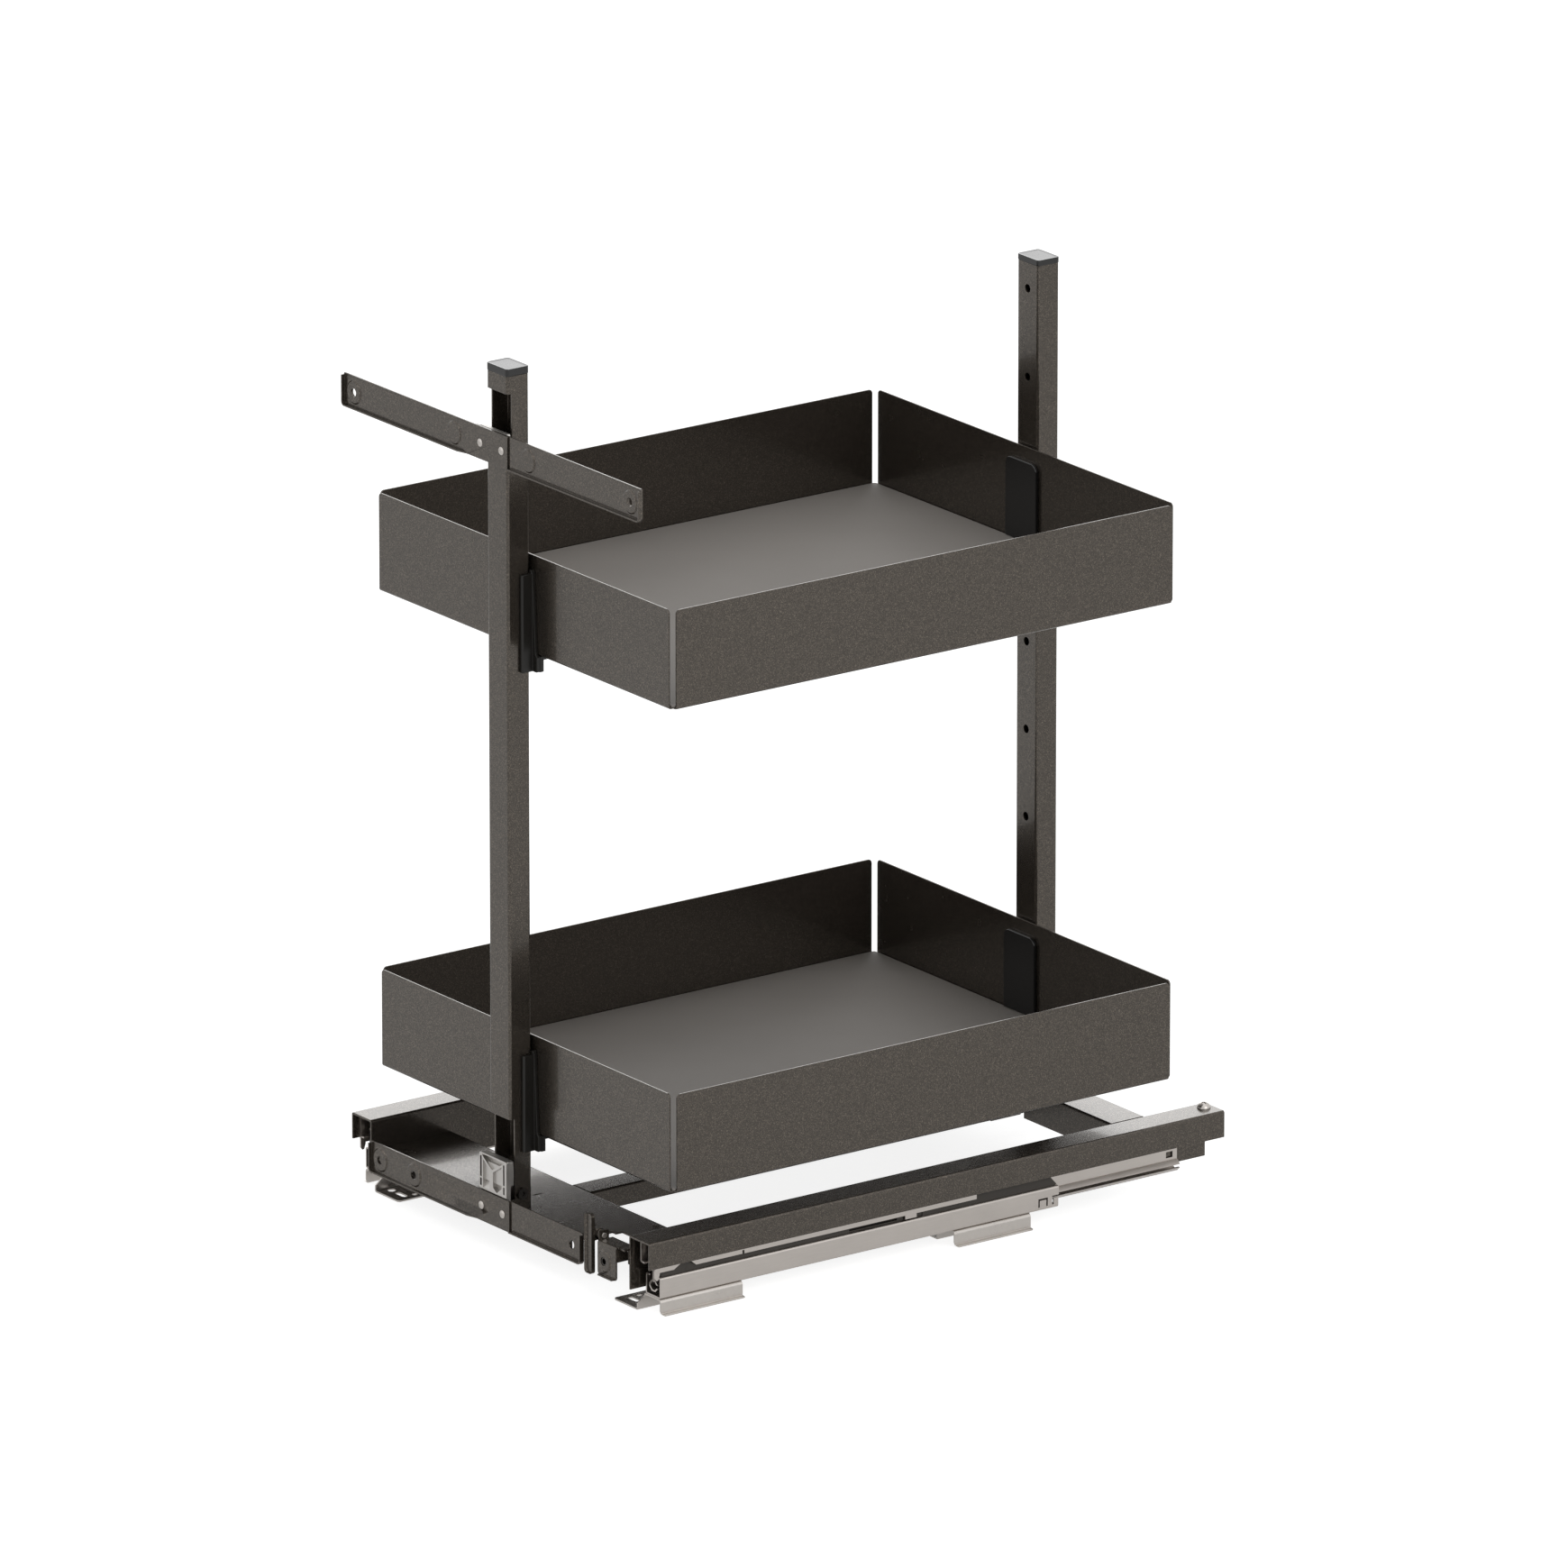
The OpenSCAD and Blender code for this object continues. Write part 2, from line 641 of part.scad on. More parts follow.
// Door bars: two overlapping arms, front arm on the left. Lips run along the bottom and the outer end
module end_lip(x_end, x_stop, y, z0, z1, fade) {
  run = abs(x_stop - x_end);
  translate([x_end, 0, 0]) on_side(sign(x_stop - x_end)) difference() {
    along_y(y - lip_d, y + 0.5) difference() {
      rrect(0, z0, run + 9, z1, arm_r);
      rrect(bar_t, z0 + bar_t, run + 20, z1 + 9, arm_r - bar_t);
      rect(-1, z1 - arm_r, run + 10, z1 + 1);
      rect(run, z0 - 1, run + 10, z1 + 1);
    }
    // the lip fades into the arm
    if (fade > 0) along_z(z0 - 1, z1 + 1) polygon([[run - fade, y - lip_d], [run, y], [run + 1, y],
      [run + 1, y - lip_d - 1], [run - fade, y - lip_d - 1]]);
  }
}

module boss(x, y, z, r) {
  translate([x, y, z]) rotate([90, 0, 0]) cylinder(h = boss_h, r1 = r + boss_slope, r2 = r);
}

module arm(x0, x1, y, z0, z1, bosses, holes) {
  zm = (z0 + z1) / 2;
  color("dimgray") difference() {
    union() {
      along_y(y, y + bar_t) rrect(x0, z0, x1, z1, arm_r);
      for (x = bosses) boss(x, y, zm, boss_r);
      children();
    }
    for (x = holes) rod_y(y - 4, y + 4, x, zm, door_hole_r);
    for (x = [-rivet_dx, rivet_dx]) rod_y(y - 1, y + 4, x, zm, rivet_r + 0.05);
  }
}

upper_z1 = upper_bar_z + upper_bar_h;
upper_x = upper_bar_w / 2;
upper_hole = upper_x - 12.7;

module upper_left_arm() {
  arm(-upper_x, arm_overlap, upper_bar_y, upper_bar_z, upper_z1, [-upper_hole, -42.8], [-upper_hole])
    end_lip(-upper_x, upper_lip_x1, upper_bar_y, upper_bar_z, upper_z1, lip_run);
}

module upper_right_arm() {
  y = upper_bar_y + bar_t;
  arm(-arm_overlap, upper_x, y, upper_bar_z, upper_z1, [upper_hole, 42.8], [upper_hole])
    end_lip(upper_x, arm_overlap + fit, y, upper_bar_z, upper_z1, 0);
}

module lower_left_arm() {
  arm(lower_bar_x0, arm_overlap + 1, lower_bar_y, lower_bar_z0, lower_bar_z1, low_hole_x, low_hole_x)
    end_lip(lower_bar_x0, lower_lip_x1, lower_bar_y, lower_bar_z0, lower_bar_z1, lip_run);
}

module lower_right_arm() {
  y = lower_bar_y + bar_t;
  arm(-arm_overlap, lower_bar_x1, y, lower_bar_z0, lower_bar_z1, [], [low_hole_dx])
    end_lip(lower_bar_x1, arm_overlap + 1 + fit, y, lower_bar_z0, lower_bar_z1, 0);
}

// Cast slider of the lower bar: slotted frame, deep side pockets, a shallow V field on top
module lower_slider() {
  x1 = slider_w / 2;
  y_bar = lower_bar_y + 2 * bar_t;
  y0 = lower_bar_y + 0.9;
  z0 = lower_bar_z0 + 0.6;
  z_step = lower_bar_z1 + 0.6;
  z_top = slider_top - 3.8;
  color("silver") difference() {
    union() {
      along_y(y_bar, slider_y1) rrect(-x1, z0, x1, slider_top, 1.5);
      along_y(y0, slider_y1) rrect(-x1, z_step, x1, slider_top, 1.5);
      box(-lug_w / 2, lug_w / 2, y_bar, slider_y1 + lug_d, node_z - 7, node_z + 7);
    }
    // slots down both sides, bridged near the bottom
    for (x = [[-x1 + 0.9, -x1 + 2.8], [x1 - 4, x1 - 2.6]]) {
      box(x[0], x[1], y0 - 1, y0 + 4.1, z_step + 7, z_top);
      box(x[0], x[1], y0 - 1, y0 + 4.1, z_step + 2, z_step + 6);
    }
    // pockets beside the web, with the V ribs above them
    along_y(y0 - 1, y0 + 4.1) {
      polygon([[-x1 + 4.4, z_step + 2], [-4.3, z_step + 2], [-4.3, node_z + 1.2],
        [-x1 + 4.4, z_top - 3.2]]);
      polygon([[0.1, z_step + 2], [x1 - 6.5, z_step + 2], [x1 - 6.5, z_top - 2.6], [0.1, node_z + 0.6]]);
    }
    along_y(y0 - 1, y0 + 1.6) polygon([[-x1 + 4.4, z_top], [-x1 + 4.4, z_top - 1.4], [-1.6, node_z + 1.4],
      [-0.6, node_z + 1.4], [x1 - 6.5, z_top - 0.8], [x1 - 6.5, z_top]]);
    // the back leans away from the post below the lug
    for (s = [-1, 1]) on_side(s) along_x(lug_w / 2, x1 + 1) polygon([[slider_y1 + 1, slider_taper[1]],
      [slider_y1, slider_taper[1]], [slider_y1 - slider_lean, slider_taper[0]], [slider_y1 - slider_lean, z0 - 1],
      [slider_y1 + 1, z0 - 1]]);
    for (x = [-rivet_dx, rivet_dx]) rod_y(y_bar - 1, slider_y1 + 1, x, (lower_bar_z0 + lower_bar_z1) / 2,
      rivet_r + 0.05);
  }
}

module upper_slider() {
  x1 = slider_w / 2;
  y_bar = upper_bar_y + 2 * bar_t;
  zm = (upper_bar_z + upper_z1) / 2;
  color("silver") difference() {
    union() {
      along_y(y_bar, slider_y1) rrect(-x1, upper_bar_z + 0.6, x1, upper_z1 + 0.2, 1.5);
      box(-lug_w / 2, lug_w / 2, slider_y1 - 0.5, slider_y1 + lug_d, zm - 7, zm + 7);
    }
    for (x = [-rivet_dx, rivet_dx]) rod_y(y_bar - 1, slider_y1 + 1, x, zm, rivet_r + 0.05);
  }
}

module keeper(zm) {
  y = slider_y1 + lug_d;
  color("silver") along_y(y, y + 2) rrect(-keeper_w / 2, zm - 9, keeper_w / 2, zm + 9, 2);
}

module rivets(y, z, y_end) {
  color("silver") for (x = [-rivet_dx, rivet_dx]) {
    rod_y(y, y_end, x, z, rivet_r);
    translate([x, y, z]) rotate([90, 0, 0]) cylinder(h = rivet_head_h, r1 = rivet_head_r, r2 = rivet_head_r - 1);
  }
}

// Lever on its cross pin
module release_lever() {
  r = (lever_x1 - lever_x0) / 2;
  color("dimgray") difference() {
    union() {
      along_y(lever_y0, lever_y0 + lever_t) rrect(lever_x0, lever_z0, lever_x1, lever_z1, r - 0.01);
      box(lever_x1 - bar_t, lever_x1, lever_y0, lever_y0 + 3.6, lever_z0 + r, lever_z1 - r);
      box(lever_x1 - bar_t, lever_x1, lever_y0, pin_y, pin_z - 4.2, pin_z + 4.2);
      rod_x(lever_x1 - bar_t, lever_x1, pin_y, pin_z, 4.2);
    }
    rod_x(lever_x0, lever_x1 + 1, pin_y, pin_z, pin_r + 0.05);
  }
}

module lever_pin() {
  color("silver") {
    rod_x(lever_x1 - 3, hex_x0 + 0.6, pin_y, pin_z, pin_r);
    rod_x(lever_x1 + fit, hex_x0 - sheet, pin_y, pin_z, 3.3);
    rod_x(lever_x1 - 3.6, lever_x1 - bar_t - fit, pin_y, pin_z, 3);
  }
}

module adjuster_bracket() {
  zt = hex_z1;
  color("dimgray") difference() {
    union() {
      along_y(hex_y0, hex_y0 + sheet) rrect(hex_x0, hex_z0, hex_x1, zt, 2.5);
      boss(screw_x, hex_y0, screw_z, hex_boss_r);
      along_y(hex_y0 - hex_lip_d, hex_y0 + 0.5) intersection() {
        rrect(hex_x0, hex_z0, hex_x1, zt, 2.5);
        rect(hex_x0, hex_z0, hex_x1, hex_z0 + bar_t);
      }
      box(hex_x0, cover_x0, hex_y0 + 0.6, hex_y1, zt - sheet, zt);
      box(hex_x1 - sheet, hex_x1, hex_y0 + 0.4, hex_ear_y1, zt - 10.7, zt);
      box(cover_x0 - sheet, cover_x0, cover_y0, hex_y1, zt - 11.3, zt);
      box(hex_x0 - sheet, hex_x0, hex_y0 + 1.6, hex_ear_y1, zt - sheet, pin_z + 4);
      box(hex_x0 - sheet, hex_x0 + 1, hex_y0 + 1.6, hex_ear_y1, zt - sheet, zt);
    }
    rod_y(hex_y0 - 3, hex_y0 + 3, screw_x, screw_z, screw_r + 0.06);
    rod_x(hex_x0 - 3, hex_x0 + 1, pin_y, pin_z, pin_r + 0.02);
  }
}

module adjuster_screw() {
  color("silver") difference() {
    union() {
      rod_y(hex_y0 - boss_h / 2, notch_y1 - 0.5, screw_x, screw_z, screw_r);
      rod_y(hex_y0 + sheet + fit, hex_y0 + sheet + fit + 1.2, screw_x, screw_z, 5);
    }
    rod_y(hex_y0 - 5, hex_y0 + 2.6, screw_x, screw_z, 2.3, $fn = 6);
  }
}

module adjuster_nut() {
  color("silver") difference() {
    along_y(nut_y0, notch_y1) rrect(screw_x - nut_w / 2, screw_z - nut_h / 2, screw_x + nut_w / 2,
      screw_z + nut_h / 2, 1.5);
    rod_y(nut_y0 - 1, notch_y1 + 1, screw_x, screw_z, screw_r + 0.06);
  }
}

on_side(-1) bracket(-slot_dy, front_flange_y, rail_y0, front_bracket_y1);  // left_front_bracket
on_side(-1) bracket(slot_dy, rear_bracket_y0, rear_bracket_y0, rear_bracket_y1);  // left_rear_bracket
bracket(-slot_dy, front_flange_y, rail_y0, front_bracket_y1);  // right_front_bracket
bracket(slot_dy, rear_bracket_y0, rear_bracket_y0, rear_bracket_y1);  // right_rear_bracket
on_side(-1) cabinet_rail();  // left_cabinet_rail
cabinet_rail();  // right_cabinet_rail
on_side(-1) damper();  // left_damper
damper();  // right_damper
on_side(-1) catch();  // left_catch
catch();  // right_catch
on_side(-1) middle_rail();  // left_middle_rail
middle_rail();  // right_middle_rail
on_side(-1) cage(run_low0, run_low1, true);  // left_lower_cage
on_side(-1) balls(run_low0, run_low1);  // left_lower_balls
cage(run_low0, run_low1, true);  // right_lower_cage
balls(run_low0, run_low1);  // right_lower_balls
on_side(-1) cage(run_up0, run_up1, false);  // left_upper_cage
on_side(-1) balls(run_up0, run_up1);  // left_upper_balls
cage(run_up0, run_up1, false);  // right_upper_cage
balls(run_up0, run_up1);  // right_upper_balls
on_side(-1) drawer_rail();  // left_drawer_rail
drawer_rail();  // right_drawer_rail
on_side(-1) cover();  // left_cover
cover();  // right_cover
color("silver") for (s = [-1, 1]) on_side(s) cover_screw();  // cover_screws
front_cross_plate();
centre_beam();
rear_cross_member();
front_post();
rear_post();
cap(front_post_y, plate_top + front_post_h, 5.5);  // front_post_cap
cap(rear_post_y, plate_top + rear_post_h, 4.3);  // rear_post_cap
socket(front_post_y);  // front_post_socket
socket(rear_post_y);  // rear_post_socket
color("silver") for (y = [front_post_y, rear_post_y]) foot_screw(y);  // post_foot_screws
tray(lower_tray_z);  // lower_tray
tray(upper_tray_z);  // upper_tray
mat(lower_tray_z);  // lower_mat
mat(upper_tray_z);  // upper_mat
at_front(lower_tray_z) holder(front_gap);  // lower_front_holder
at_rear(lower_tray_z) holder(rear_gap);  // lower_rear_holder
at_front(upper_tray_z) holder(front_gap);  // upper_front_holder
at_rear(upper_tray_z) holder(rear_gap);  // upper_rear_holder
color("black") {  // lower_clamp_plates
  at_front(lower_tray_z) clamp_plate(front_gap);
  at_rear(lower_tray_z) clamp_plate(rear_gap);
}
color("black") {  // upper_clamp_plates
  at_front(upper_tray_z) clamp_plate(front_gap);
  at_rear(upper_tray_z) clamp_plate(rear_gap);
}
upper_left_arm();
upper_right_arm();
upper_slider();
keeper((upper_bar_z + upper_z1) / 2);  // upper_keeper
rivets(upper_bar_y, (upper_bar_z + upper_z1) / 2, slider_y1 - 0.2);  // upper_rivets
lower_left_arm();
lower_right_arm();
lower_slider();
keeper(node_z);  // lower_keeper
rivets(lower_bar_y, (lower_bar_z0 + lower_bar_z1) / 2, slider_y1 - slider_lean - 0.2);  // lower_rivets
release_lever();
lever_pin();
adjuster_bracket();
adjuster_screw();
adjuster_nut();
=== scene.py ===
import bmesh
import bpy
import math
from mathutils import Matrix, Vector


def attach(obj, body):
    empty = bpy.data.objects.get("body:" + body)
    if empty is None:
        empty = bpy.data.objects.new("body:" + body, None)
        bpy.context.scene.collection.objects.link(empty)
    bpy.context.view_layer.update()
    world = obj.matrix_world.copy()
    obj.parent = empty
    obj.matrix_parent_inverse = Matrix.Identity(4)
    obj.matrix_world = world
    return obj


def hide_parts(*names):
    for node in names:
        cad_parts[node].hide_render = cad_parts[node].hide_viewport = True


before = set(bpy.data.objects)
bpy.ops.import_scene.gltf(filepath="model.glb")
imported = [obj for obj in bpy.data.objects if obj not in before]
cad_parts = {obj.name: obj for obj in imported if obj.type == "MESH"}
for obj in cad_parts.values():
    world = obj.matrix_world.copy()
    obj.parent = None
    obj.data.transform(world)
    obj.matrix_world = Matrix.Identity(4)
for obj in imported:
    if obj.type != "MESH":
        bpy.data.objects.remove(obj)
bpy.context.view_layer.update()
bpy.ops.object.select_all(action="DESELECT")

# Floor brackets
# Four pressed hats of 1.3 mm zinc-plated strip, screwed to the cabinet floor
# through slots. Each carries one end of a cabinet rail on its raised table.
MM = 0.001
rail_sheet, strip_bend = 1.3, 1.6
rail_x0, rail_x1 = 158.7, 176.1
bracket_x0, bracket_wall, bracket_lip = 128.3, 157.1, 179.1
bracket_leg = rail_x1 - rail_sheet + 0.3
bracket_top, bracket_corner = 11.7, 2.5
upright_h, upright_slant = 5.0, 8.0
slot_x, slot_y, slot_length, slot_width = 139.0, 128.0, 11.7, 4.4
round_hole_x, round_hole_r = slot_x + 11.7, 3
small_hole_x, small_hole_step, small_hole_r = slot_x - 4.9, 7.8, 2


def only(ob):
    bpy.ops.object.select_all(action="DESELECT")
    ob.select_set(True)
    bpy.context.view_layer.objects.active = ob


def apply(ob, kind, **settings):
    only(ob)
    added = ob.modifiers.new(kind.lower(), kind)
    for key, value in settings.items():
        setattr(added, key, value)
    bpy.ops.object.modifier_apply(modifier=added.name)


def named(name):
    """The primitive just added, named, with its place, turn and scale in its mesh."""
    ob = bpy.context.object
    ob.name = name
    bpy.ops.object.transform_apply(location=True, rotation=True, scale=True)
    return ob


def block(name, low, high):
    low, high = Vector(low) * MM, Vector(high) * MM
    bpy.ops.mesh.primitive_cube_add(size=1, location=(low + high) / 2, scale=high - low)
    return named(name)


def rod(name, start, end, radius, sides=32):
    start, end = Vector(start) * MM, Vector(end) * MM
    turn = (end - start).to_track_quat("Z", "Y").to_euler()
    bpy.ops.mesh.primitive_cylinder_add(vertices=sides, radius=radius * MM, depth=(end - start).length,
                                        location=(start + end) / 2, rotation=turn)
    return named(name)


def select(ob, kind, wanted):
    """Edit mode with the vertices, edges or faces selected whose middle, in mm, is wanted."""
    only(ob)
    bpy.ops.object.mode_set(mode="EDIT")
    bpy.ops.mesh.select_mode(type=kind)
    bpy.ops.mesh.select_all(action="DESELECT")
    shape = bmesh.from_edit_mesh(ob.data)
    for item in {"VERT": shape.verts, "EDGE": shape.edges, "FACE": shape.faces}[kind]:
        middle = item.co if kind == "VERT" else sum((v.co for v in item.verts), Vector()) / len(item.verts)
        if wanted(middle / MM, item):
            item.select_set(True)
    shape.select_flush_mode()
    bmesh.update_edit_mesh(ob.data)


def done():
    bpy.ops.object.mode_set(mode="OBJECT")


def runs_along(axis, edge):
    """Whether the edge is more than 1 mm long along the axis."""
    return abs(getattr(edge.verts[0].co - edge.verts[1].co, axis)) > 1 * MM


def round_edges(ob, radius, segments, wanted):
    select(ob, "EDGE", wanted)
    bpy.ops.mesh.bevel(offset=radius * MM, segments=segments, affect="EDGES")
    done()


def cut(ob, *tools, operation="DIFFERENCE"):
    for tool in tools:
        apply(ob, "BOOLEAN", operation=operation, object=tool, solver="EXACT")
        bpy.data.objects.remove(tool)


def prism(name, outline, axis, low, high):
    """A solid whose outline, in mm, lies across the axis, from low to high along it."""
    turn = {"X": lambda u, v, w: (w, u, v), "Y": lambda u, v, w: (u, w, v),
            "Z": lambda u, v, w: (u, v, w)}[axis]
    bpy.ops.mesh.primitive_circle_add(vertices=len(outline), fill_type="NGON")
    ob = bpy.context.object
    ob.name = name
    for vertex, (u, v) in zip(ob.data.vertices, outline):
        vertex.co = Vector(turn(u, v, low)) * MM
    select(ob, "FACE", lambda m, f: True)
    bpy.ops.mesh.extrude_region_move(
        TRANSFORM_OT_translate={"value": Vector(turn(0, 0, high - low)) * MM})
    bpy.ops.mesh.select_all(action="SELECT")
    bpy.ops.mesh.normals_make_consistent(inside=False)
    done()
    return ob


def fold(name, corner, run, steps, thick, bend, side, turns=4):
    """A strip bent as in a press: panels of the length run, one a step, then given its thickness."""
    bpy.ops.mesh.primitive_plane_add(size=1)
    ob = bpy.context.object
    ob.name = name
    a, r, s = Vector(corner) * MM, Vector(run) * MM, Vector(steps[0]) * MM
    for vertex, place in zip(ob.data.vertices, (a, a + r, a + s, a + r + s)):
        vertex.co = place
    end = (a + s + r / 2) / MM
    select(ob, "EDGE", lambda m, e: (m - end).length < 0.01)
    for step in steps[1:]:
        bpy.ops.mesh.extrude_edges_move(TRANSFORM_OT_translate={"value": Vector(step) * MM})
    done()
    select(ob, "EDGE", lambda m, e: len(e.link_faces) == 2)
    bpy.ops.mesh.bevel(offset=bend * MM, segments=turns, affect="EDGES", clamp_overlap=True)
    done()
    apply(ob, "SOLIDIFY", thickness=thick * MM, offset=side, use_even_offset=True)
    return ob


def soften(ob, width, segments=2, angle=35):
    apply(ob, "BEVEL", width=width * MM, segments=segments, limit_method="ANGLE",
          angle_limit=math.radians(angle), use_clamp_overlap=False)
    only(ob)
    bpy.ops.object.shade_smooth_by_angle(angle=math.radians(38))
    apply(ob, "WEIGHTED_NORMAL", keep_sharp=True)


def mirrored(ob, name):
    """A copy on the other side of the frame, with its faces outwards again."""
    only(ob)
    bpy.ops.object.duplicate()
    bpy.context.object.scale.x = -1
    twin = named(name)
    bpy.ops.mesh.customdata_custom_splitnormals_clear()
    if sum(face.area * face.normal.dot(face.center) for face in twin.data.polygons) < 0:
        select(twin, "FACE", lambda m, f: True)
        bpy.ops.mesh.flip_normals()
        done()
    apply(twin, "WEIGHTED_NORMAL", keep_sharp=True)
    return twin


def fit(ob, body, slot, material, *nodes):
    ob.data.materials.clear()
    ob.data.materials.append(material)
    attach(ob, body)
    if nodes:
        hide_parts(*nodes)


def fit_both_sides(right, body, slot, material, node):
    """Fits the right piece and its mirror image, which has left for right in all its names."""
    left = mirrored(right, right.name.replace("right", "left"))
    fit(right, body, slot, material, node)
    fit(left, body.replace("right", "left"), slot, material, node.replace("right", "left"))


class Wire:
    """An output of a shader node, so that shader maths reads as plain arithmetic."""

    def __init__(self, nodes, socket):
        self.nodes, self.socket = nodes, socket

    def _math(self, operation, first, second):
        return self.nodes.node("Math", {"operation": operation}, {0: first, 1: second})

    def __add__(self, other):
        return self._math("ADD", self, other)

    def __radd__(self, other):
        return self._math("ADD", other, self)

    def __sub__(self, other):
        return self._math("SUBTRACT", self, other)

    def __rsub__(self, other):
        return self._math("SUBTRACT", other, self)

    def __mul__(self, other):
        return self._math("MULTIPLY", self, other)

    def __rmul__(self, other):
        return self._math("MULTIPLY", other, self)

    def clamped(self):
        return self.nodes.node("Clamp", {}, {"Value": self})


class Nodes:
    """The shader nodes of a material or of the world."""

    def __init__(self, tree):
        self.tree = tree

    def node(self, kind, settings, inputs, out=0):
        made = self.tree.nodes.new("ShaderNode" + kind)
        for key, value in settings.items():
            setattr(made, key, value)
        for key, value in inputs.items():
            self.put(value, made.inputs[key])
        return Wire(self, made.outputs[out])

    def put(self, value, socket):
        if isinstance(value, Wire):
            self.tree.links.new(value.socket, socket)
        else:
            socket.default_value = value


class Finish(Nodes):
    """A material, with patterns that lie on the piece's own coordinates."""

    def __init__(self, name, **fixed):
        self.material = bpy.data.materials.new(name)
        self.material.use_nodes = True
        super().__init__(self.material.node_tree)
        self.shader = self.tree.nodes["Principled BSDF"]
        self.give(**fixed)

    def give(self, **sockets):
        for key, value in sockets.items():
            self.put(value, self.shader.inputs[key.replace("_", " ")])

    def place(self, scale=(1, 1, 1)):
        at = self.node("TexCoord", {}, {}, "Object")
        return self.node("Mapping", {}, {"Vector": at, "Scale": scale})

    def noise(self, scale, detail=2.0, rough=0.5, stretch=(1, 1, 1)):
        return self.node("TexNoise", {}, {"Vector": self.place(stretch), "Scale": scale,
                                          "Detail": detail, "Roughness": rough}, "Fac")

    def cells(self, scale):
        return self.node("TexVoronoi", {}, {"Vector": self.place(), "Scale": scale}, "Color")

    def blend(self, amount, first, second):
        return self.node("Mix", {"data_type": "RGBA"}, {0: amount, 6: first, 7: second}, 2)

    def bump(self, height, strength, distance):
        self.give(Normal=self.node("Bump", {}, {"Height": height, "Strength": strength,
                                                "Distance": distance}, "Normal"))


def zinc_plate(name, colour, roughness, along):
    """Zinc-plated strip: drawn streaks along the rolling direction, cloudy passivation."""
    f = Finish(name, Metallic=1.0)
    streak = f.noise(260, 4.0, 0.6, along)
    cloud = f.noise(38, 3.0, 0.6)
    shade = tuple(0.78 * c for c in colour[:3]) + (1,)
    f.give(Base_Color=f.blend((streak * 0.5 + cloud * 0.55 - 0.12).clamped(), shade, colour))
    f.give(Roughness=roughness + streak * 0.12 + cloud * 0.08)
    f.bump(streak, 0.12, 0.00008)
    return f.material


zinc_parts = zinc_plate("zinc_plated_parts", (0.60, 0.565, 0.53, 1), 0.20, (1.5, 1.5, 1.5))


def slot_hole(x, y, length, width):
    tool = block("tool", (x - length / 2, y - width / 2, -3), (x + length / 2, y + width / 2, 4))
    round_edges(tool, width / 2.02, 5, lambda m, e: abs(m.z - 0.5) < 0.1)
    return tool


def floor_bracket(name, hole_y, front, leg_front, back):
    ob = fold(name, (bracket_x0, front, 0), (0, back - front, 0),
              [(bracket_wall - bracket_x0, 0, 0), (0, 0, bracket_top - rail_sheet),
               (bracket_leg - bracket_wall, 0, 0), (0, 0, rail_sheet - bracket_top),
               (bracket_lip - bracket_leg, 0, 0)], rail_sheet, strip_bend, -1)
    # the upright starts low at the front, the table and the outer leg start further back
    cut(ob, block("tool", (bracket_wall + 0.05, front - 1, -1), (bracket_lip + 1, leg_front, 20)),
        prism("tool", [(front - 2, upright_h), (front, upright_h),
                       (front + upright_slant, bracket_top + 0.1), (front + upright_slant, 20),
                       (front - 2, 20)], "X", bracket_wall - 3, bracket_wall + 0.06),
        prism("tool", [(leg_front - 1, -1), (leg_front + 3, -1), (leg_front + 0.9, 0.9), (leg_front, 3),
                       (leg_front - 1, 3)], "X", rail_x1 - 4, bracket_lip + 1))
    small_hole_y = hole_y + small_hole_step
    cut(ob, slot_hole(slot_x, hole_y, slot_length, slot_width),
        rod("tool", (round_hole_x, hole_y, -2), (round_hole_x, hole_y, 3), round_hole_r),
        rod("tool", (small_hole_x, small_hole_y, -2), (small_hole_x, small_hole_y, 3), small_hole_r))
    round_edges(ob, bracket_corner, 4,
                lambda m, e: abs(m.x - bracket_x0) < 0.05 and runs_along("z", e))
    soften(ob, 0.22)
    return ob


for where, hole_y, front, leg_front, back in (("front", -slot_y, -137.8, -132.3, -63.0),
                                              ("rear", slot_y, 117.6, 117.6, 183.2)):
    fit_both_sides(floor_bracket("right_" + where + "_floor_bracket", hole_y, front, leg_front, back),
                   "cabinet_side", "zinc_plated_steel", zinc_parts, "right_" + where + "_bracket")

# Cabinet rails
# Roll-formed strip, an upright U with turned-in lips that hold the lower ball
# rows. Riveted to the tables of the floor brackets.
rail_y0, rail_y1 = -132.3, 207.7
rail_z0, rail_z1 = 11.7, 27.2
rail_lip = 3.6
rail_middle = (rail_x0 + rail_x1) / 2
rail_hole_y, rail_hole_r = (-75, 150), 2.1
# a tongue cut free on three sides, and a tab in the rear corner: y from, to, z from, to
tongue_slits = ((190, 191.1, 14, 20.2), (196.9, 198, 14, 20.2), (190, 198, 19, 20.2))
tab_slits = ((201.9, 203.2, 14.2, 19.2), (201.9, 208.5, 19, 20.6), (207.2, 208.5, rail_z0 - 1, 19.2))

zinc = zinc_plate("zinc_plated_strip", (0.56, 0.52, 0.485, 1), 0.24, (6, 0.25, 6))
rail = fold("right_cabinet_rail_shell", (rail_x0 + rail_lip + rail_sheet, rail_y0, rail_z1),
            (0, rail_y1 - rail_y0, 0),
            [(-rail_lip - rail_sheet, 0, 0), (0, 0, rail_z0 - rail_z1), (rail_x1 - rail_x0, 0, 0),
             (0, 0, rail_z1 - rail_z0), (-rail_lip - rail_sheet, 0, 0)], rail_sheet, strip_bend, -1)
for y0, y1, z0, z1 in tongue_slits + tab_slits:
    cut(rail, block("tool", (rail_x1 - 2.4, y0, z0), (rail_x1 + 1, y1, z1)))
for y in rail_hole_y:
    cut(rail, rod("tool", (rail_middle, y, rail_z0 - 1), (rail_middle, y, rail_z0 + 3), rail_hole_r))
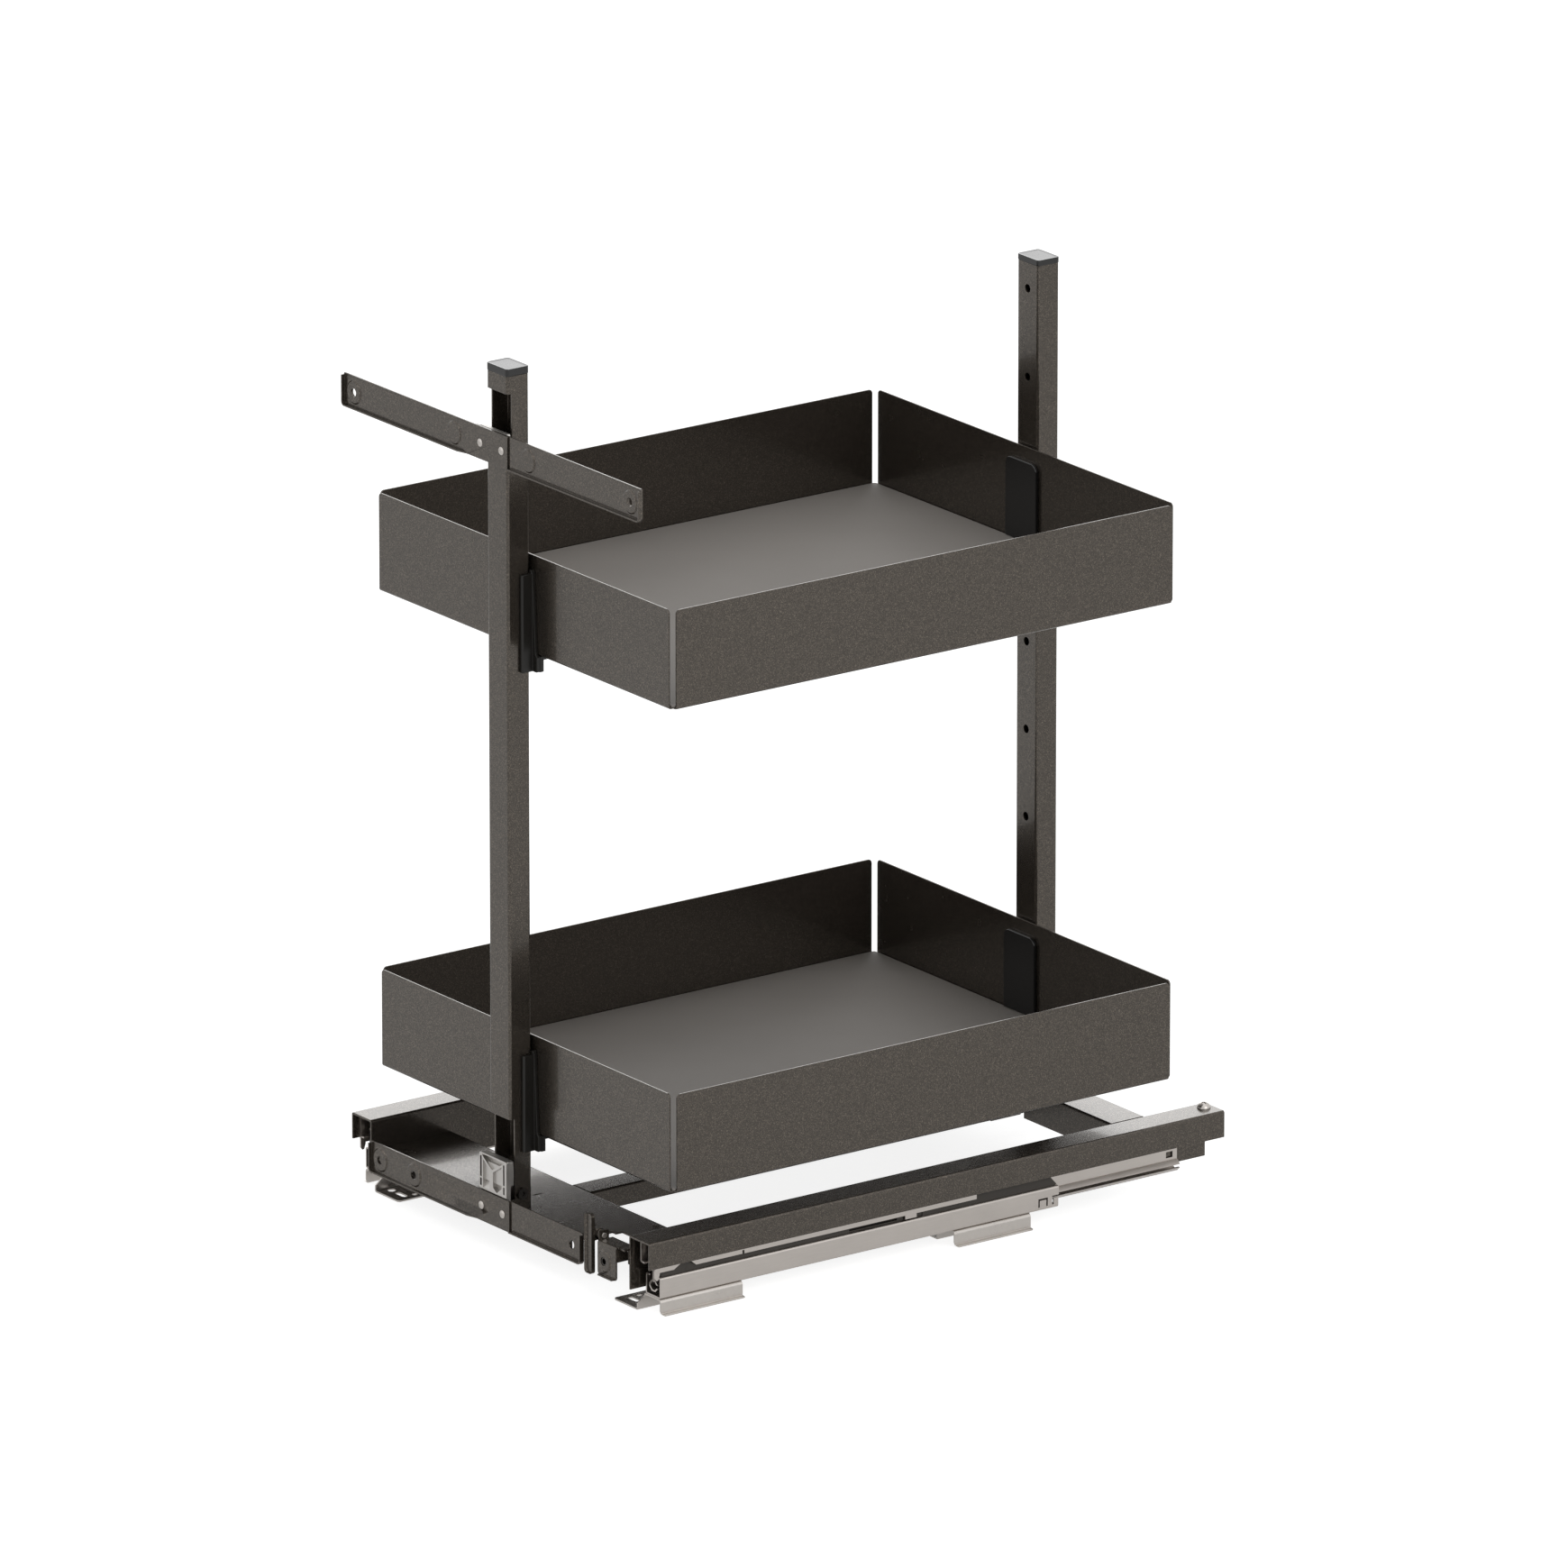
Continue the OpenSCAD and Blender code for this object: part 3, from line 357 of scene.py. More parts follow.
soften(rail, 0.25)
fit_both_sides(rail, "cabinet_side", "zinc_plated_steel", zinc, "right_cabinet_rail")

# Middle rails, ball cages and balls
# The middle rail runs at half the carriage's speed on two levels of balls.
# It is roll-formed, two eight-sided heads joined by a neck, and shows behind
# the cabinet rail. Cages and balls stay as they come from the solids.
middle_y0, middle_y1 = -132, 315.5
neck_x0, neck_x1, neck_z0, neck_z1 = 166.1, 168.7, 22.6, 39.8
head_x0, head_x1, head_corner = 162.3, 172.5, 3.03
heads = ((15.3, 23.6), (38.8, 49.2))
head_opening_x = 169.9
window_low, window_high = (164, 306, 25.6), (171, 311.7, 29.9)


def add(ob, *others):
    cut(ob, *others, operation="UNION")


def head(z0, z1, wall):
    """One head, smaller by the wall on all four sides and longer by it at both ends."""
    x0, x1, c = head_x0 + wall, head_x1 - wall, head_corner - 0.586 * wall
    z0, z1 = z0 + wall, z1 - wall
    return prism("tool", [(x0 + c, z0), (x1 - c, z0), (x1, z0 + c), (x1, z1 - c), (x1 - c, z1),
                          (x0 + c, z1), (x0, z1 - c), (x0, z0 + c)], "Y", middle_y0 - wall, middle_y1 + wall)


def plastic(name, colour, roughness, grain, depth, shine=0.5):
    """Moulded plastic with a fine spark-eroded grain."""
    f = Finish(name, Metallic=0.0, Specular_IOR_Level=shine)
    lift = f.noise(9)
    f.give(Base_Color=f.blend(lift, colour, tuple(1.25 * c + 0.002 for c in colour[:3]) + (1,)))
    f.give(Roughness=roughness + f.noise(grain * 0.5) * 0.10)
    f.bump(f.noise(grain, 3.0, 0.7), 0.3, depth)
    return f.material


def dress(material, *nodes):
    for node in nodes:
        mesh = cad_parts[node].data
        mesh.materials.clear()
        mesh.materials.append(material)


middle = block("right_middle_rail_strip", (neck_x0, middle_y0, neck_z0), (neck_x1, middle_y1, neck_z1))
for z0, z1 in heads:
    add(middle, head(z0, z1, 0))
for z0, z1 in heads:
    cut(middle, head(z0, z1, rail_sheet), block("tool", (head_opening_x, middle_y0 - 1, z0 + head_corner),
                                                (175, middle_y1 + 1.5, z1 - head_corner)))
cut(middle, block("tool", window_low, window_high))
soften(middle, 0.15)
fit_both_sides(middle, "right_middle", "zinc_plated_steel", zinc, "right_middle_rail")
cage_plastic = plastic("ball_cage_plastic", (0.62, 0.61, 0.56, 1), 0.45, 1200, 0.00003)
dress(cage_plastic, "left_lower_cage", "right_lower_cage", "left_upper_cage", "right_upper_cage")
ball_steel = zinc_plate("polished_ball_steel", (0.85, 0.85, 0.84, 1), 0.05, (1, 1, 1))
dress(ball_steel, "left_lower_balls", "right_lower_balls", "left_upper_balls", "right_upper_balls")

# Soft-close units
# Black moulded housings clipped on the outer lip of each cabinet rail, chamfered
# at the rear, with the catch that slides in their slot.
housing_x0, housing_x1 = 169.6, 174.2
housing_y0, housing_y1 = -130, 207
housing_z0, housing_z1 = rail_z1, 34.6
thick_x0, thick_x1, thick_y1 = 173.2, 174.5, -110
catch_y0, catch_y1 = 29, 91.5
housing_round = 2.2
soft_close_plastic = plastic("soft_close_plastic", (0.040, 0.035, 0.030, 1), 0.42, 1800, 0.00003, 0.3)
housing = prism("right_soft_close_housing",
                [(housing_y0, housing_z0), (housing_y1 - 1.5, housing_z0), (housing_y1, housing_z0 + 0.8),
                 (housing_y1 - 6, housing_z1), (housing_y0, housing_z1)], "X", housing_x0, housing_x1)
round_edges(housing, housing_round, 5, lambda m, e: m.x > 174 and m.z > 34 and abs(m.y) < 60)
add(housing, block("tool", (thick_x0, housing_y0, housing_z0), (thick_x1, thick_y1, housing_z1)))
cut(housing, block("tool", (housing_x0 + 1, catch_y0, housing_z0 + 1), (176.1, catch_y1, housing_z1 + 1)),
    block("tool", (173.4, catch_y0, housing_z0 - 1), (176.1, catch_y1, housing_z1 + 1)))
soften(housing, 0.25)
fit_both_sides(housing, "cabinet_side", "black_plastic", soft_close_plastic, "right_damper")
dress(soft_close_plastic, "left_catch", "right_catch")

# Drawer rails
# Roll-formed strip, an inverted C. Its outer wall hangs down as a skirt that
# shows as a bright line under the cover, with the tab for the catch.
drawer_y0, drawer_y1 = -137.0, 348.2
drawer_top, drawer_lip, skirt, skirt_end = 52.8, 35.2, 31.1, 136.8
skirt_slit_y0, skirt_slit_y1 = -63, -61.4
catch_tab_y0, catch_tab_y1 = 75.5, 85.3
skirt_cut = [(-121.7, skirt - 0.5), (-115, drawer_lip - 0.6),
             (-106.5, drawer_lip - 0.6), (-101.5, skirt - 0.5)]
nose = [(drawer_y0, skirt + 1), (drawer_y0, skirt - 3.5), (drawer_y0 + 1.6, skirt - 5.5),
        (drawer_y0 + 3, skirt - 4.9), (drawer_y0 + 4.2, skirt - 1), (drawer_y0 + 4.2, skirt + 1)]
wall_x = rail_x1 - rail_sheet
drawer = fold("right_drawer_rail_shell", (rail_x0 + rail_lip + rail_sheet, drawer_y0, drawer_lip),
              (0, drawer_y1 - drawer_y0, 0),
              [(-rail_lip - rail_sheet, 0, 0), (0, 0, drawer_top - drawer_lip), (rail_x1 - rail_x0, 0, 0),
               (0, 0, skirt - drawer_top)], rail_sheet, strip_bend, 1)
# the skirt stops before the rear, and has a slit and a cut with slanted ends
cut(drawer, block("tool", (rail_x1 - 3, skirt_end, skirt - 1), (rail_x1 + 1, drawer_y1 + 1, drawer_lip)),
    block("tool", (rail_x1 - 3, skirt_slit_y0, skirt - 1), (rail_x1 + 1, skirt_slit_y1, skirt + 2.6)),
    prism("tool", skirt_cut, "X", rail_x1 - 3, rail_x1 + 1))
# the nose at the front, the tab for the catch and the turned-in outer lip
add(drawer, prism("tool", nose, "X", wall_x, rail_x1),
    block("tool", (wall_x, catch_tab_y0, skirt - 2.8), (rail_x1, catch_tab_y1, skirt + 1)),
    block("tool", (wall_x - rail_lip, drawer_y0, drawer_lip),
          (rail_x1 - 0.2, drawer_y1, drawer_lip + rail_sheet)))
soften(drawer, 0.22)
fit_both_sides(drawer, "carriage", "zinc_plated_steel", zinc, "right_drawer_rail")

# Cover channels
# Powder-coated 1.5 mm steel, folded over the drawer rails and screwed down at
# the rear. The inner wall hangs lower than the outer one.
sheet, sheet_bend = 1.5, 1.7
cover_x0, cover_x1 = 153.8, 177.6
cover_y0, cover_y1 = -142.7, 350.2
cover_top, cover_out, cover_in = 54.3, 34.9, 15.3
cover_screw_x, cover_screw_y, cover_hole_r = rail_x0 + 4.7, cover_y1 - 7.5, 2.2


def powder_coat(name, dark, light, roughness):
    """Anthracite powder coat: fine metal flakes under a clear layer, with a faint orange peel."""
    f = Finish(name, Metallic=0.7, Coat_Weight=0.35, Coat_Roughness=0.08)
    tone = f.noise(1300, 4.0, 0.8)
    flake = f.node("SeparateColor", {}, {"Color": f.cells(2000)}, "Red")
    spark = f.node("MapRange", {}, {"Value": flake, "From Min": 0.72, "From Max": 1.0})
    dim = f.node("MapRange", {}, {"Value": tone, "From Min": 0.36, "From Max": 0.64})
    f.give(Base_Color=f.blend((dim * 0.45 + spark * 1.1).clamped(), dark, light))
    f.give(Roughness=roughness + f.noise(60) * 0.05 - spark * 0.08)
    f.bump(f.noise(750) + flake * 0.5, 0.2, 0.00007)
    return f.material


coat = powder_coat("anthracite_powder_coat", (0.036, 0.0302, 0.0245, 1), (0.150, 0.127, 0.103, 1), 0.24)
cover = fold("right_cover_channel", (cover_x1, cover_y0, cover_out), (0, cover_y1 - cover_y0, 0),
             [(0, 0, cover_top - cover_out), (cover_x0 - cover_x1, 0, 0), (0, 0, cover_in - cover_top)],
             sheet, sheet_bend, -1)
cut(cover, rod("tool", (cover_screw_x, cover_screw_y, 50), (cover_screw_x, cover_screw_y, 60), cover_hole_r))
soften(cover, 0.3)
fit_both_sides(cover, "carriage", "anthracite_steel", coat, "right_cover")

# Cover screws
# Zinc-plated dome-head screws with a cross recess, one at the rear end of each
# cover, down into the drawer rail.
screw_head_r, screw_head_h, screw_shank_r, screw_end = 4.9, 3.9, 2.1, 51
recess_reach, recess_half, recess_depth = 2.4, 0.55, 1.4


def ball(name, x, y, z, radius, scale):
    """A flattened ball. The caller cuts one half of it off, and the other is a domed head."""
    bpy.ops.mesh.primitive_uv_sphere_add(segments=32, ring_count=16, radius=radius * MM,
                                         location=(x * MM, y * MM, z * MM), scale=scale)
    return named(name)


def joined(name, *pieces):
    only(pieces[0])
    for piece in pieces:
        piece.select_set(True)
    bpy.ops.object.join()
    pieces[0].name = name
    return pieces[0]


x, y, recess_z = cover_screw_x, cover_screw_y, cover_top + screw_head_h - recess_depth
screw = ball("right_cover_screw", x, y, cover_top, screw_head_r, (1, 1, screw_head_h / screw_head_r))
cut(screw, block("tool", (x - 9, y - 9, cover_top - 9), (x + 9, y + 9, cover_top)))
for half_x, half_y in ((recess_reach, recess_half), (recess_half, recess_reach)):
    cut(screw, block("tool", (x - half_x, y - half_y, recess_z), (x + half_x, y + half_y, cover_top + 9)))
soften(screw, 0.12)
add(screw, rod("tool", (x, y, screw_end), (x, y, cover_top + 0.5), screw_shank_r))
fit(joined("cover_dome_screws", screw, mirrored(screw, "tool")), "carriage", "zinc_plated_steel",
    zinc_parts, "cover_screws")

# Front cross plate
# Folded plate between the covers, flanged down all round, with a notch at the
# right for the lever and the side adjuster. It carries the front post.
plate_top, plate_y0, plate_y1, flange = 32.6, -140.7, -72.9, 10
notch_x0, notch_x1, notch_y0, notch_y1 = 88, 92, -109.7, -104.3
slit_x0, slit_x1, slit_y0, slit_y1 = -8.2, -7.0, -108.4, -100.7
stud_x, stud_y, stud_r = 95.5, -78.1, 2.5
flange_z, flange_y1 = plate_top - flange, plate_y1 - 2
cross_plate = fold("front_cross_plate_sheet", (-cover_x0, plate_y0, flange_z), (2 * cover_x0, 0, 0),
                   [(0, 0, flange), (0, plate_y1 - plate_y0, 0), (0, 0, -flange)], sheet, sheet_bend, -1)
# the notch in two steps, the short piece of flange beside it, and a slit
cut(cross_plate, block("tool", (notch_x0, plate_y0 - 1, 10), (cover_x0 + 1, notch_y0, 40)),
    block("tool", (notch_x1, notch_y0 - 0.3, 10), (cover_x0 + 1, notch_y1, 40)),
    block("tool", (notch_x0 - 5.8, plate_y0 - 1, 10), (notch_x0 + 1, plate_y0 + 4, plate_top - sheet)),
    block("tool", (slit_x0, slit_y0, 28), (slit_x1, slit_y1, 40)))
# the flanges at both ends
add(cross_plate,
    block("tool", (-cover_x0, plate_y0 + 2, flange_z), (-cover_x0 + sheet, flange_y1, plate_top - 0.4)),
    block("tool", (cover_x0 - sheet, notch_y1, flange_z), (cover_x0, flange_y1, plate_top - 0.4)))
soften(cross_plate, 0.25)
stud = rod("cross_plate_stud", (stud_x, stud_y, plate_top - 0.5), (stud_x, stud_y, plate_top + 0.6), stud_r)
soften(stud, 0.3)
fit(cross_plate, "carriage", "anthracite_steel", coat, "front_cross_plate")
fit(stud, "carriage", "anthracite_steel", coat)

# Centre beam
# Inverted channel from the cross plate to the foot of the rear post, welded
# under both.
beam_x, beam_z0, beam_l = 11.2, 17.7, 400.2
beam = fold("centre_beam_channel", (-beam_x, plate_y1, beam_z0), (0, beam_l, 0),
            [(0, 0, plate_top - beam_z0), (2 * beam_x, 0, 0), (0, 0, beam_z0 - plate_top)],
            sheet, sheet_bend, 1)
soften(beam, 0.25)
fit(beam, "carriage", "anthracite_steel", coat, "centre_beam")

# Rear cross member
# Folded channel between the covers, flush with their tops. Its flanges stop
# short of the middle, where two legs come down to the beam.
member_y0, member_d, member_z0 = 268.3, 29.9, 31.3
member_gap, leg_y0, leg_y1 = 53.4, 270.3, 296.2
member = fold("rear_cross_member_sheet", (-cover_x0, member_y0, member_z0), (2 * cover_x0, 0, 0),
              [(0, 0, cover_top - member_z0), (0, member_d, 0), (0, 0, member_z0 - cover_top)],
              sheet, sheet_bend, -1)
cut(member, block("tool", (-member_gap, 260, 20), (member_gap, 305, cover_top - sheet - 2.4)))
for side in (-1, 1):
    x0, x1 = sorted((side * beam_x, side * beam_x + side * sheet))
    add(member, block("tool", (x0, leg_y0, beam_z0), (x1, leg_y1, cover_top - 0.4)))
soften(member, 0.25)
fit(member, "carriage", "anthracite_steel", coat, "rear_cross_member")

# Posts
# Square steel tubes, powder coated. The front one has two windows in which the
# door bars are set to height, the rear one a row of holes 64 mm apart.
post_w, post_d, post_wall, post_corner = 24.3, 18.3, 1.5, 2.0
front_post_y, rear_post_y = -141.9, 309.0
front_post_top, rear_post_top = 631.9, 633.9
window_heights = ((40, 98.6), (567, 619.3))
tray_floors = {"lower": 85.4, "upper": 431.1}
peg_h, post_hole_r = 56.3, 3
row_z, row_step, row_count = 231.4, 64, 7


def tube(name, y, top):
    ob = block(name, (-post_w / 2, y, plate_top), (post_w / 2, y + post_d, top))
    round_edges(ob, post_corner, 5, lambda m, e: abs(m.z - (plate_top + top) / 2) < 1)
    select(ob, "FACE", lambda m, f: abs(f.normal.z) > 0.9)
    bpy.ops.mesh.delete(type="FACE")
    done()
    apply(ob, "SOLIDIFY", thickness=post_wall * MM, offset=-1, use_even_offset=True)
    return ob


def post_hole(post, y0, y1, z):
    cut(post, rod("tool", (0, y0, z), (0, y1, z), post_hole_r))


front_post = tube("front_post_tube", front_post_y, front_post_top)
for low, high in window_heights:
    cut(front_post, block("tool", (-20, front_post_y - 2, low), (20, front_post_y + 4, high)))
for floor_z in tray_floors.values():
    post_hole(front_post, front_post_y + post_d - 3, front_post_y + post_d + 2, floor_z + peg_h)
soften(front_post, 0.2)
rear_post = tube("rear_post_tube", rear_post_y, rear_post_top)
for i in range(row_count):
    post_hole(rear_post, rear_post_y - 2, rear_post_y + 3, row_z + row_step * i)
post_hole(rear_post, rear_post_y - 2, rear_post_y + 3, tray_floors["lower"] + peg_h)
soften(rear_post, 0.2)
fit(front_post, "carriage", "anthracite_steel", coat, "front_post")
fit(rear_post, "carriage", "anthracite_steel", coat, "rear_post")

# Post caps
# Glossy black moulded plugs with a slightly proud, softly edged head that has
# a shallow field on top. They are pushed into the open ends of the tubes.
cap_proud, cap_corner, cap_rim, cap_field = 0.3, 2.3, 2.2, 0.5
plug_in, plug_depth = 1.7, 10
front_cap_top, rear_cap_top = 637.4, 638.2
gloss_black = plastic("gloss_black_plastic", (0.008, 0.008, 0.008, 1), 0.12, 900, 0.00001)


def post_cap(name, y, bottom, top):
    ob = block(name, (-post_w / 2 - cap_proud, y - cap_proud, bottom),
               (post_w / 2 + cap_proud, y + post_d + cap_proud, top))
    round_edges(ob, cap_corner, 5, lambda m, e: runs_along("z", e))
    select(ob, "FACE", lambda m, f: f.normal.z > 0.9)
    bpy.ops.mesh.inset(thickness=cap_rim * MM)
    bpy.ops.transform.translate(value=(0, 0, -cap_field * MM))
    done()
    add(ob, block("tool", (-post_w / 2 + plug_in, y + plug_in, bottom - plug_depth),
                  (post_w / 2 - plug_in, y + post_d - plug_in, bottom + 1)))
    soften(ob, 0.5, 3)
    return ob


fit(post_cap("front_post_plug", front_post_y, front_post_top, front_cap_top), "carriage",
    "black_plastic", gloss_black, "front_post_cap")
fit(post_cap("rear_post_plug", rear_post_y, rear_post_top, rear_cap_top), "carriage",
    "black_plastic", gloss_black, "rear_post_cap")

# Post feet
# Pressed sockets inside the tubes, with the blackened cross screws that go
# through tube and socket. Both stay as they come from the solids.
# Dark zinc finish: a real blackened finish on the post foot screws, and painted shade on the adjuster screw,
# whose recessed hole is dark
blackened_and_shade_steel = zinc_plate("blackened_and_shade_screw_steel", (0.085, 0.08, 0.075, 1), 0.22, (1.5, 1.5, 1.5))
dress(zinc_parts, "front_post_socket", "rear_post_socket")
dress(blackened_and_shade_steel, "post_foot_screws")

# Trays
# One blank of 1.2 mm powder-coated steel with notched corners, four walls
# folded up, the corners left open by a narrow slot.
tray_x, tray_y0, tray_y1, tray_h = 175.1, -121.1, 307.1, 70.9
tray_sheet, tray_gap, tray_bend, tray_corner = 1.2, 3.8, 1.9, 3.0


def tray(name, z):
    middle_y, half_y = (tray_y0 + tray_y1) / 2, (tray_y1 - tray_y0) / 2
    bpy.ops.mesh.primitive_grid_add(x_subdivisions=3, y_subdivisions=3, size=1)
    ob = bpy.context.object
    ob.name = name
    xs = (-tray_x, -tray_x + tray_gap, tray_x - tray_gap, tray_x)
    ys = (tray_y0, tray_y0 + tray_gap, tray_y1 - tray_gap, tray_y1)
    for vertex in ob.data.vertices:
        column, row = round((vertex.co.x + 0.5) * 3), round((vertex.co.y + 0.5) * 3)
        vertex.co = Vector((xs[column], ys[row], z)) * MM
    select(ob, "FACE", lambda m, f: abs(m.x) > tray_x - tray_gap and abs(m.y - middle_y) > half_y - tray_gap)
    bpy.ops.mesh.delete(type="FACE")
    done()
    select(ob, "EDGE", lambda m, e: (abs(m.x) > tray_x - 0.1 and abs(m.y - middle_y) < 1)
           or (abs(m.y - middle_y) > half_y - 0.1 and abs(m.x) < 1))
    bpy.ops.mesh.extrude_edges_move(TRANSFORM_OT_translate={"value": (0, 0, tray_h * MM)})
    done()
    round_edges(ob, tray_bend, 5, lambda m, e: len(e.link_faces) == 2 and m.z < z + 1
                and ((abs(m.x) > tray_x - 0.1) or (abs(m.y - middle_y) > half_y - 0.1)))
    select(ob, "VERT", lambda m, v: m.z > z + tray_h - 0.1)
    bpy.ops.mesh.bevel(offset=tray_corner * MM, segments=5, affect="VERTICES")
    done()
    select(ob, "FACE", lambda m, f: True)
    bpy.ops.mesh.normals_make_consistent(inside=True)
    done()
    apply(ob, "SOLIDIFY", thickness=tray_sheet * MM, offset=1, use_even_offset=True)
    soften(ob, 0.25)
    return ob


for level, z in tray_floors.items():
    fit(tray(level + "_tray_sheet", z), "carriage", "anthracite_steel", coat, level + "_tray")

# Mats
# Loose anti-slip mats of grained grey rubber, cut to fill the tray floors with
# a narrow gap all round.
mat_edge, mat_thick, mat_corner = tray_sheet + 0.8, 1.5, 2
mat_rubber = plastic("grey_mat_rubber", (0.20, 0.185, 0.17, 1), 0.62, 1500, 0.00008)


def mat(name, z):
    ob = block(name, (-tray_x + mat_edge, tray_y0 + mat_edge, z + tray_sheet + 0.02),
               (tray_x - mat_edge, tray_y1 - mat_edge, z + tray_sheet + mat_thick))
    round_edges(ob, mat_corner, 4, lambda m, e: runs_along("z", e))
    soften(ob, 0.3)
    return ob


for level, z in tray_floors.items():
    fit(mat(level + "_anti_slip_mat", z), "carriage", "mat_rubber", mat_rubber, level + "_mat")

# Tray holders
# Black moulded clips round the posts: two cheeks, a foot under the tray, and
# a peg into the post.
front_gap, rear_gap = 2.5, 1.9
cheek_x, foot_x, foot_drop = post_w / 2 + 3.2, 20.4, 11.3
clip_depth, nub_r, nub_h = 8.8, 1.7, 59.4
black_plastic = plastic("black_holder_plastic", (0.009, 0.008, 0.0065, 1), 0.34, 1800, 0.00003, 0.35)


def holder(name, wall, gap, way, z):
    """The clip between a tray wall and its post. It lies from the wall to the given way, -1 or 1."""
    def y(value):
        return wall + way * value

    def bar(half, ya, yb, z0, z1):
        y0, y1 = sorted((y(ya), y(yb)))
        return block("tool", (-half, y0, z0), (half, y1, z1))

    reach, inner_x, nub_x = gap + clip_depth, post_w / 2 + 0.1, cheek_x - 1.7
    face = prism(name, [(-foot_x, z - 10.3), (1 - foot_x, z - foot_drop), (foot_x - 1, z - foot_drop),
                        (foot_x, z - 10.3), (foot_x, z - 0.5), (foot_x - 2, z + 1.5), (cheek_x, z + 59),
                        (-cheek_x, z + 59), (2 - foot_x, z + 1.5), (-foot_x, z - 0.5)],
                 "Y", *sorted((y(0.05), y(gap))))
    for side in (-1, 1):
        cheek = prism("tool", [(side * inner_x, y(0.05)), (side * cheek_x, y(0.05)),
                               (side * cheek_x, y(reach - 1)), (side * (cheek_x - 1), y(reach)),
                               (side * inner_x, y(reach))], "Z", z - foot_drop, z + 58.4)
        nub = rod("tool", (side * nub_x, y(0.3), z + nub_h), (side * nub_x, y(gap + 1), z + nub_h), nub_r)
        add(face, cheek, nub)
    # the foot and its tongue under the tray floor
    add(face, bar(foot_x, -3.4, 0.2, z - foot_drop, z - 0.1), bar(14, -13, -3, z - 5.3, z - 0.1))
    soften(face, 0.4, 3)
    return face


for level, z in tray_floors.items():
    fit(holder(level + "_front_clip", tray_y0, front_gap, -1, z), "carriage", "black_plastic",
        black_plastic, level + "_front_holder")
    fit(holder(level + "_rear_clip", tray_y1, rear_gap, 1, z), "carriage", "black_plastic",
        black_plastic, level + "_rear_holder")

# Clamp plates
# Glossy black moulded plates inside the front and rear tray walls. They snap
# into the holders through the wall and clamp it.
clamp_x, clamp_near, clamp_far, clamp_z0, clamp_z1, clamp_corner = 17.8, -1.25, -4.0, 3.0, 61, 6


def clamp_plate(name, wall, way, z):
    y0, y1 = sorted((wall + way * clamp_far, wall + way * clamp_near))
    ob = block(name, (-clamp_x, y0, z + clamp_z0), (clamp_x, y1, z + clamp_z1))
    round_edges(ob, clamp_corner, 8, lambda m, e: m.z > z + 60 and abs(m.x) > 17)
    soften(ob, 0.7, 3)
    return ob


for level, z in tray_floors.items():
    front_clamp = clamp_plate(level + "_front_clamp", tray_y0, -1, z)
    rear_clamp = clamp_plate(level + "_rear_clamp", tray_y1, 1, z)
    fit(joined(level + "_clamp_pair", front_clamp, rear_clamp), "carriage", "black_plastic",
        gloss_black, level + "_clamp_plates")

# Door bars
# Each bar is two pressed arms, overlapped in front of the post and riveted to
# a slider. Round bosses stand out where the door is screwed on.
bar_sheet, arm_r, arm_small_r, bar_lip, lip_drop = 1.2, 3.0, 1.3, 2.5, 1.4
boss_r, boss_h, boss_slope, bar_hole_r = 7.4, 0.9, 1.1, 3
upper_y, upper_z0, upper_z1, upper_end = -147.3, 568.9, 592.4, 174.9
upper_boss, upper_inner_boss = 162.2, 42.8
upper_lap, upper_left_stop, upper_right_stop = 19.6, -28, 19.9
lower_y, lower_z0, lower_z1, lower_left_end, lower_right_end = -149.0, 20.8, 43.4, -145.5, 106.2
lower_boss, lower_inner_boss = 133.6, 93
lower_lap, lower_left_stop, lower_right_stop = 20.6, -18, 20.9
lip_fade = 9


def raised_boss(x, y, z, radius):
    bpy.ops.mesh.primitive_cone_add(vertices=48, radius1=(radius + boss_slope) * MM, radius2=radius * MM,
                                    depth=boss_h * MM, location=(x * MM, (y - 0.45) * MM, z * MM),
                                    rotation=(math.radians(90), 0, 0))
    ob = named("tool")
    select(ob, "FACE", lambda m, f: f.normal.y > 0.9)
    bpy.ops.mesh.extrude_region_move(TRANSFORM_OT_translate={"value": (0, 0.5 * MM, 0)})
    done()
    return ob


def arm(name, x0, x1, y, z0, z1, bosses, holes, outer, stop, fade):
    """One arm, its outer end at x outer. Its lower lip runs to x stop, where it may fade out."""
    ob = block(name, (x0, y, z0), (x1, y + bar_sheet, z1))
    for low_outer, radius in ((True, arm_r), (False, arm_small_r)):
        round_edges(ob, radius, 6, lambda m, e: runs_along("y", e)
                    and (abs(m.x - outer) < 0.1 and m.z < z0 + 0.1) == low_outer
                    and (low_outer or min(m.z - z0, z1 - m.z) < 0.1
                         and min(abs(m.x - x0), abs(m.x - x1)) < 0.1))
    # the lip, one strip bent round the lower outer corner
    way = 1 if stop > outer else -1
    bent = fold("tool", (outer, y - bar_lip, z1 - lip_drop), (0, bar_lip + 0.5, 0),
                [(0, 0, z0 - z1 + lip_drop), (stop - outer, 0, 0)], bar_sheet, arm_r, -way, 6)
    select(bent, "FACE", lambda m, f: True)
    bpy.ops.mesh.normals_make_consistent(inside=False)
    done()
    if fade:
        fade_x = stop - way * fade
        cut(bent, prism("tool", [(fade_x, y - bar_lip), (stop, y), (stop + way, y),
                                 (stop + way, y - bar_lip - 1), (fade_x, y - bar_lip - 1)],
                        "Z", z0 - 1, z1 + 1))
    add(ob, bent)
    middle = (z0 + z1) / 2
    for x in bosses:
        add(ob, raised_boss(x, y, middle, boss_r))
    for x in holes:
        cut(ob, rod("tool", (x, y - 4, middle), (x, y + 4, middle), bar_hole_r))
    soften(ob, 0.18)
    return ob


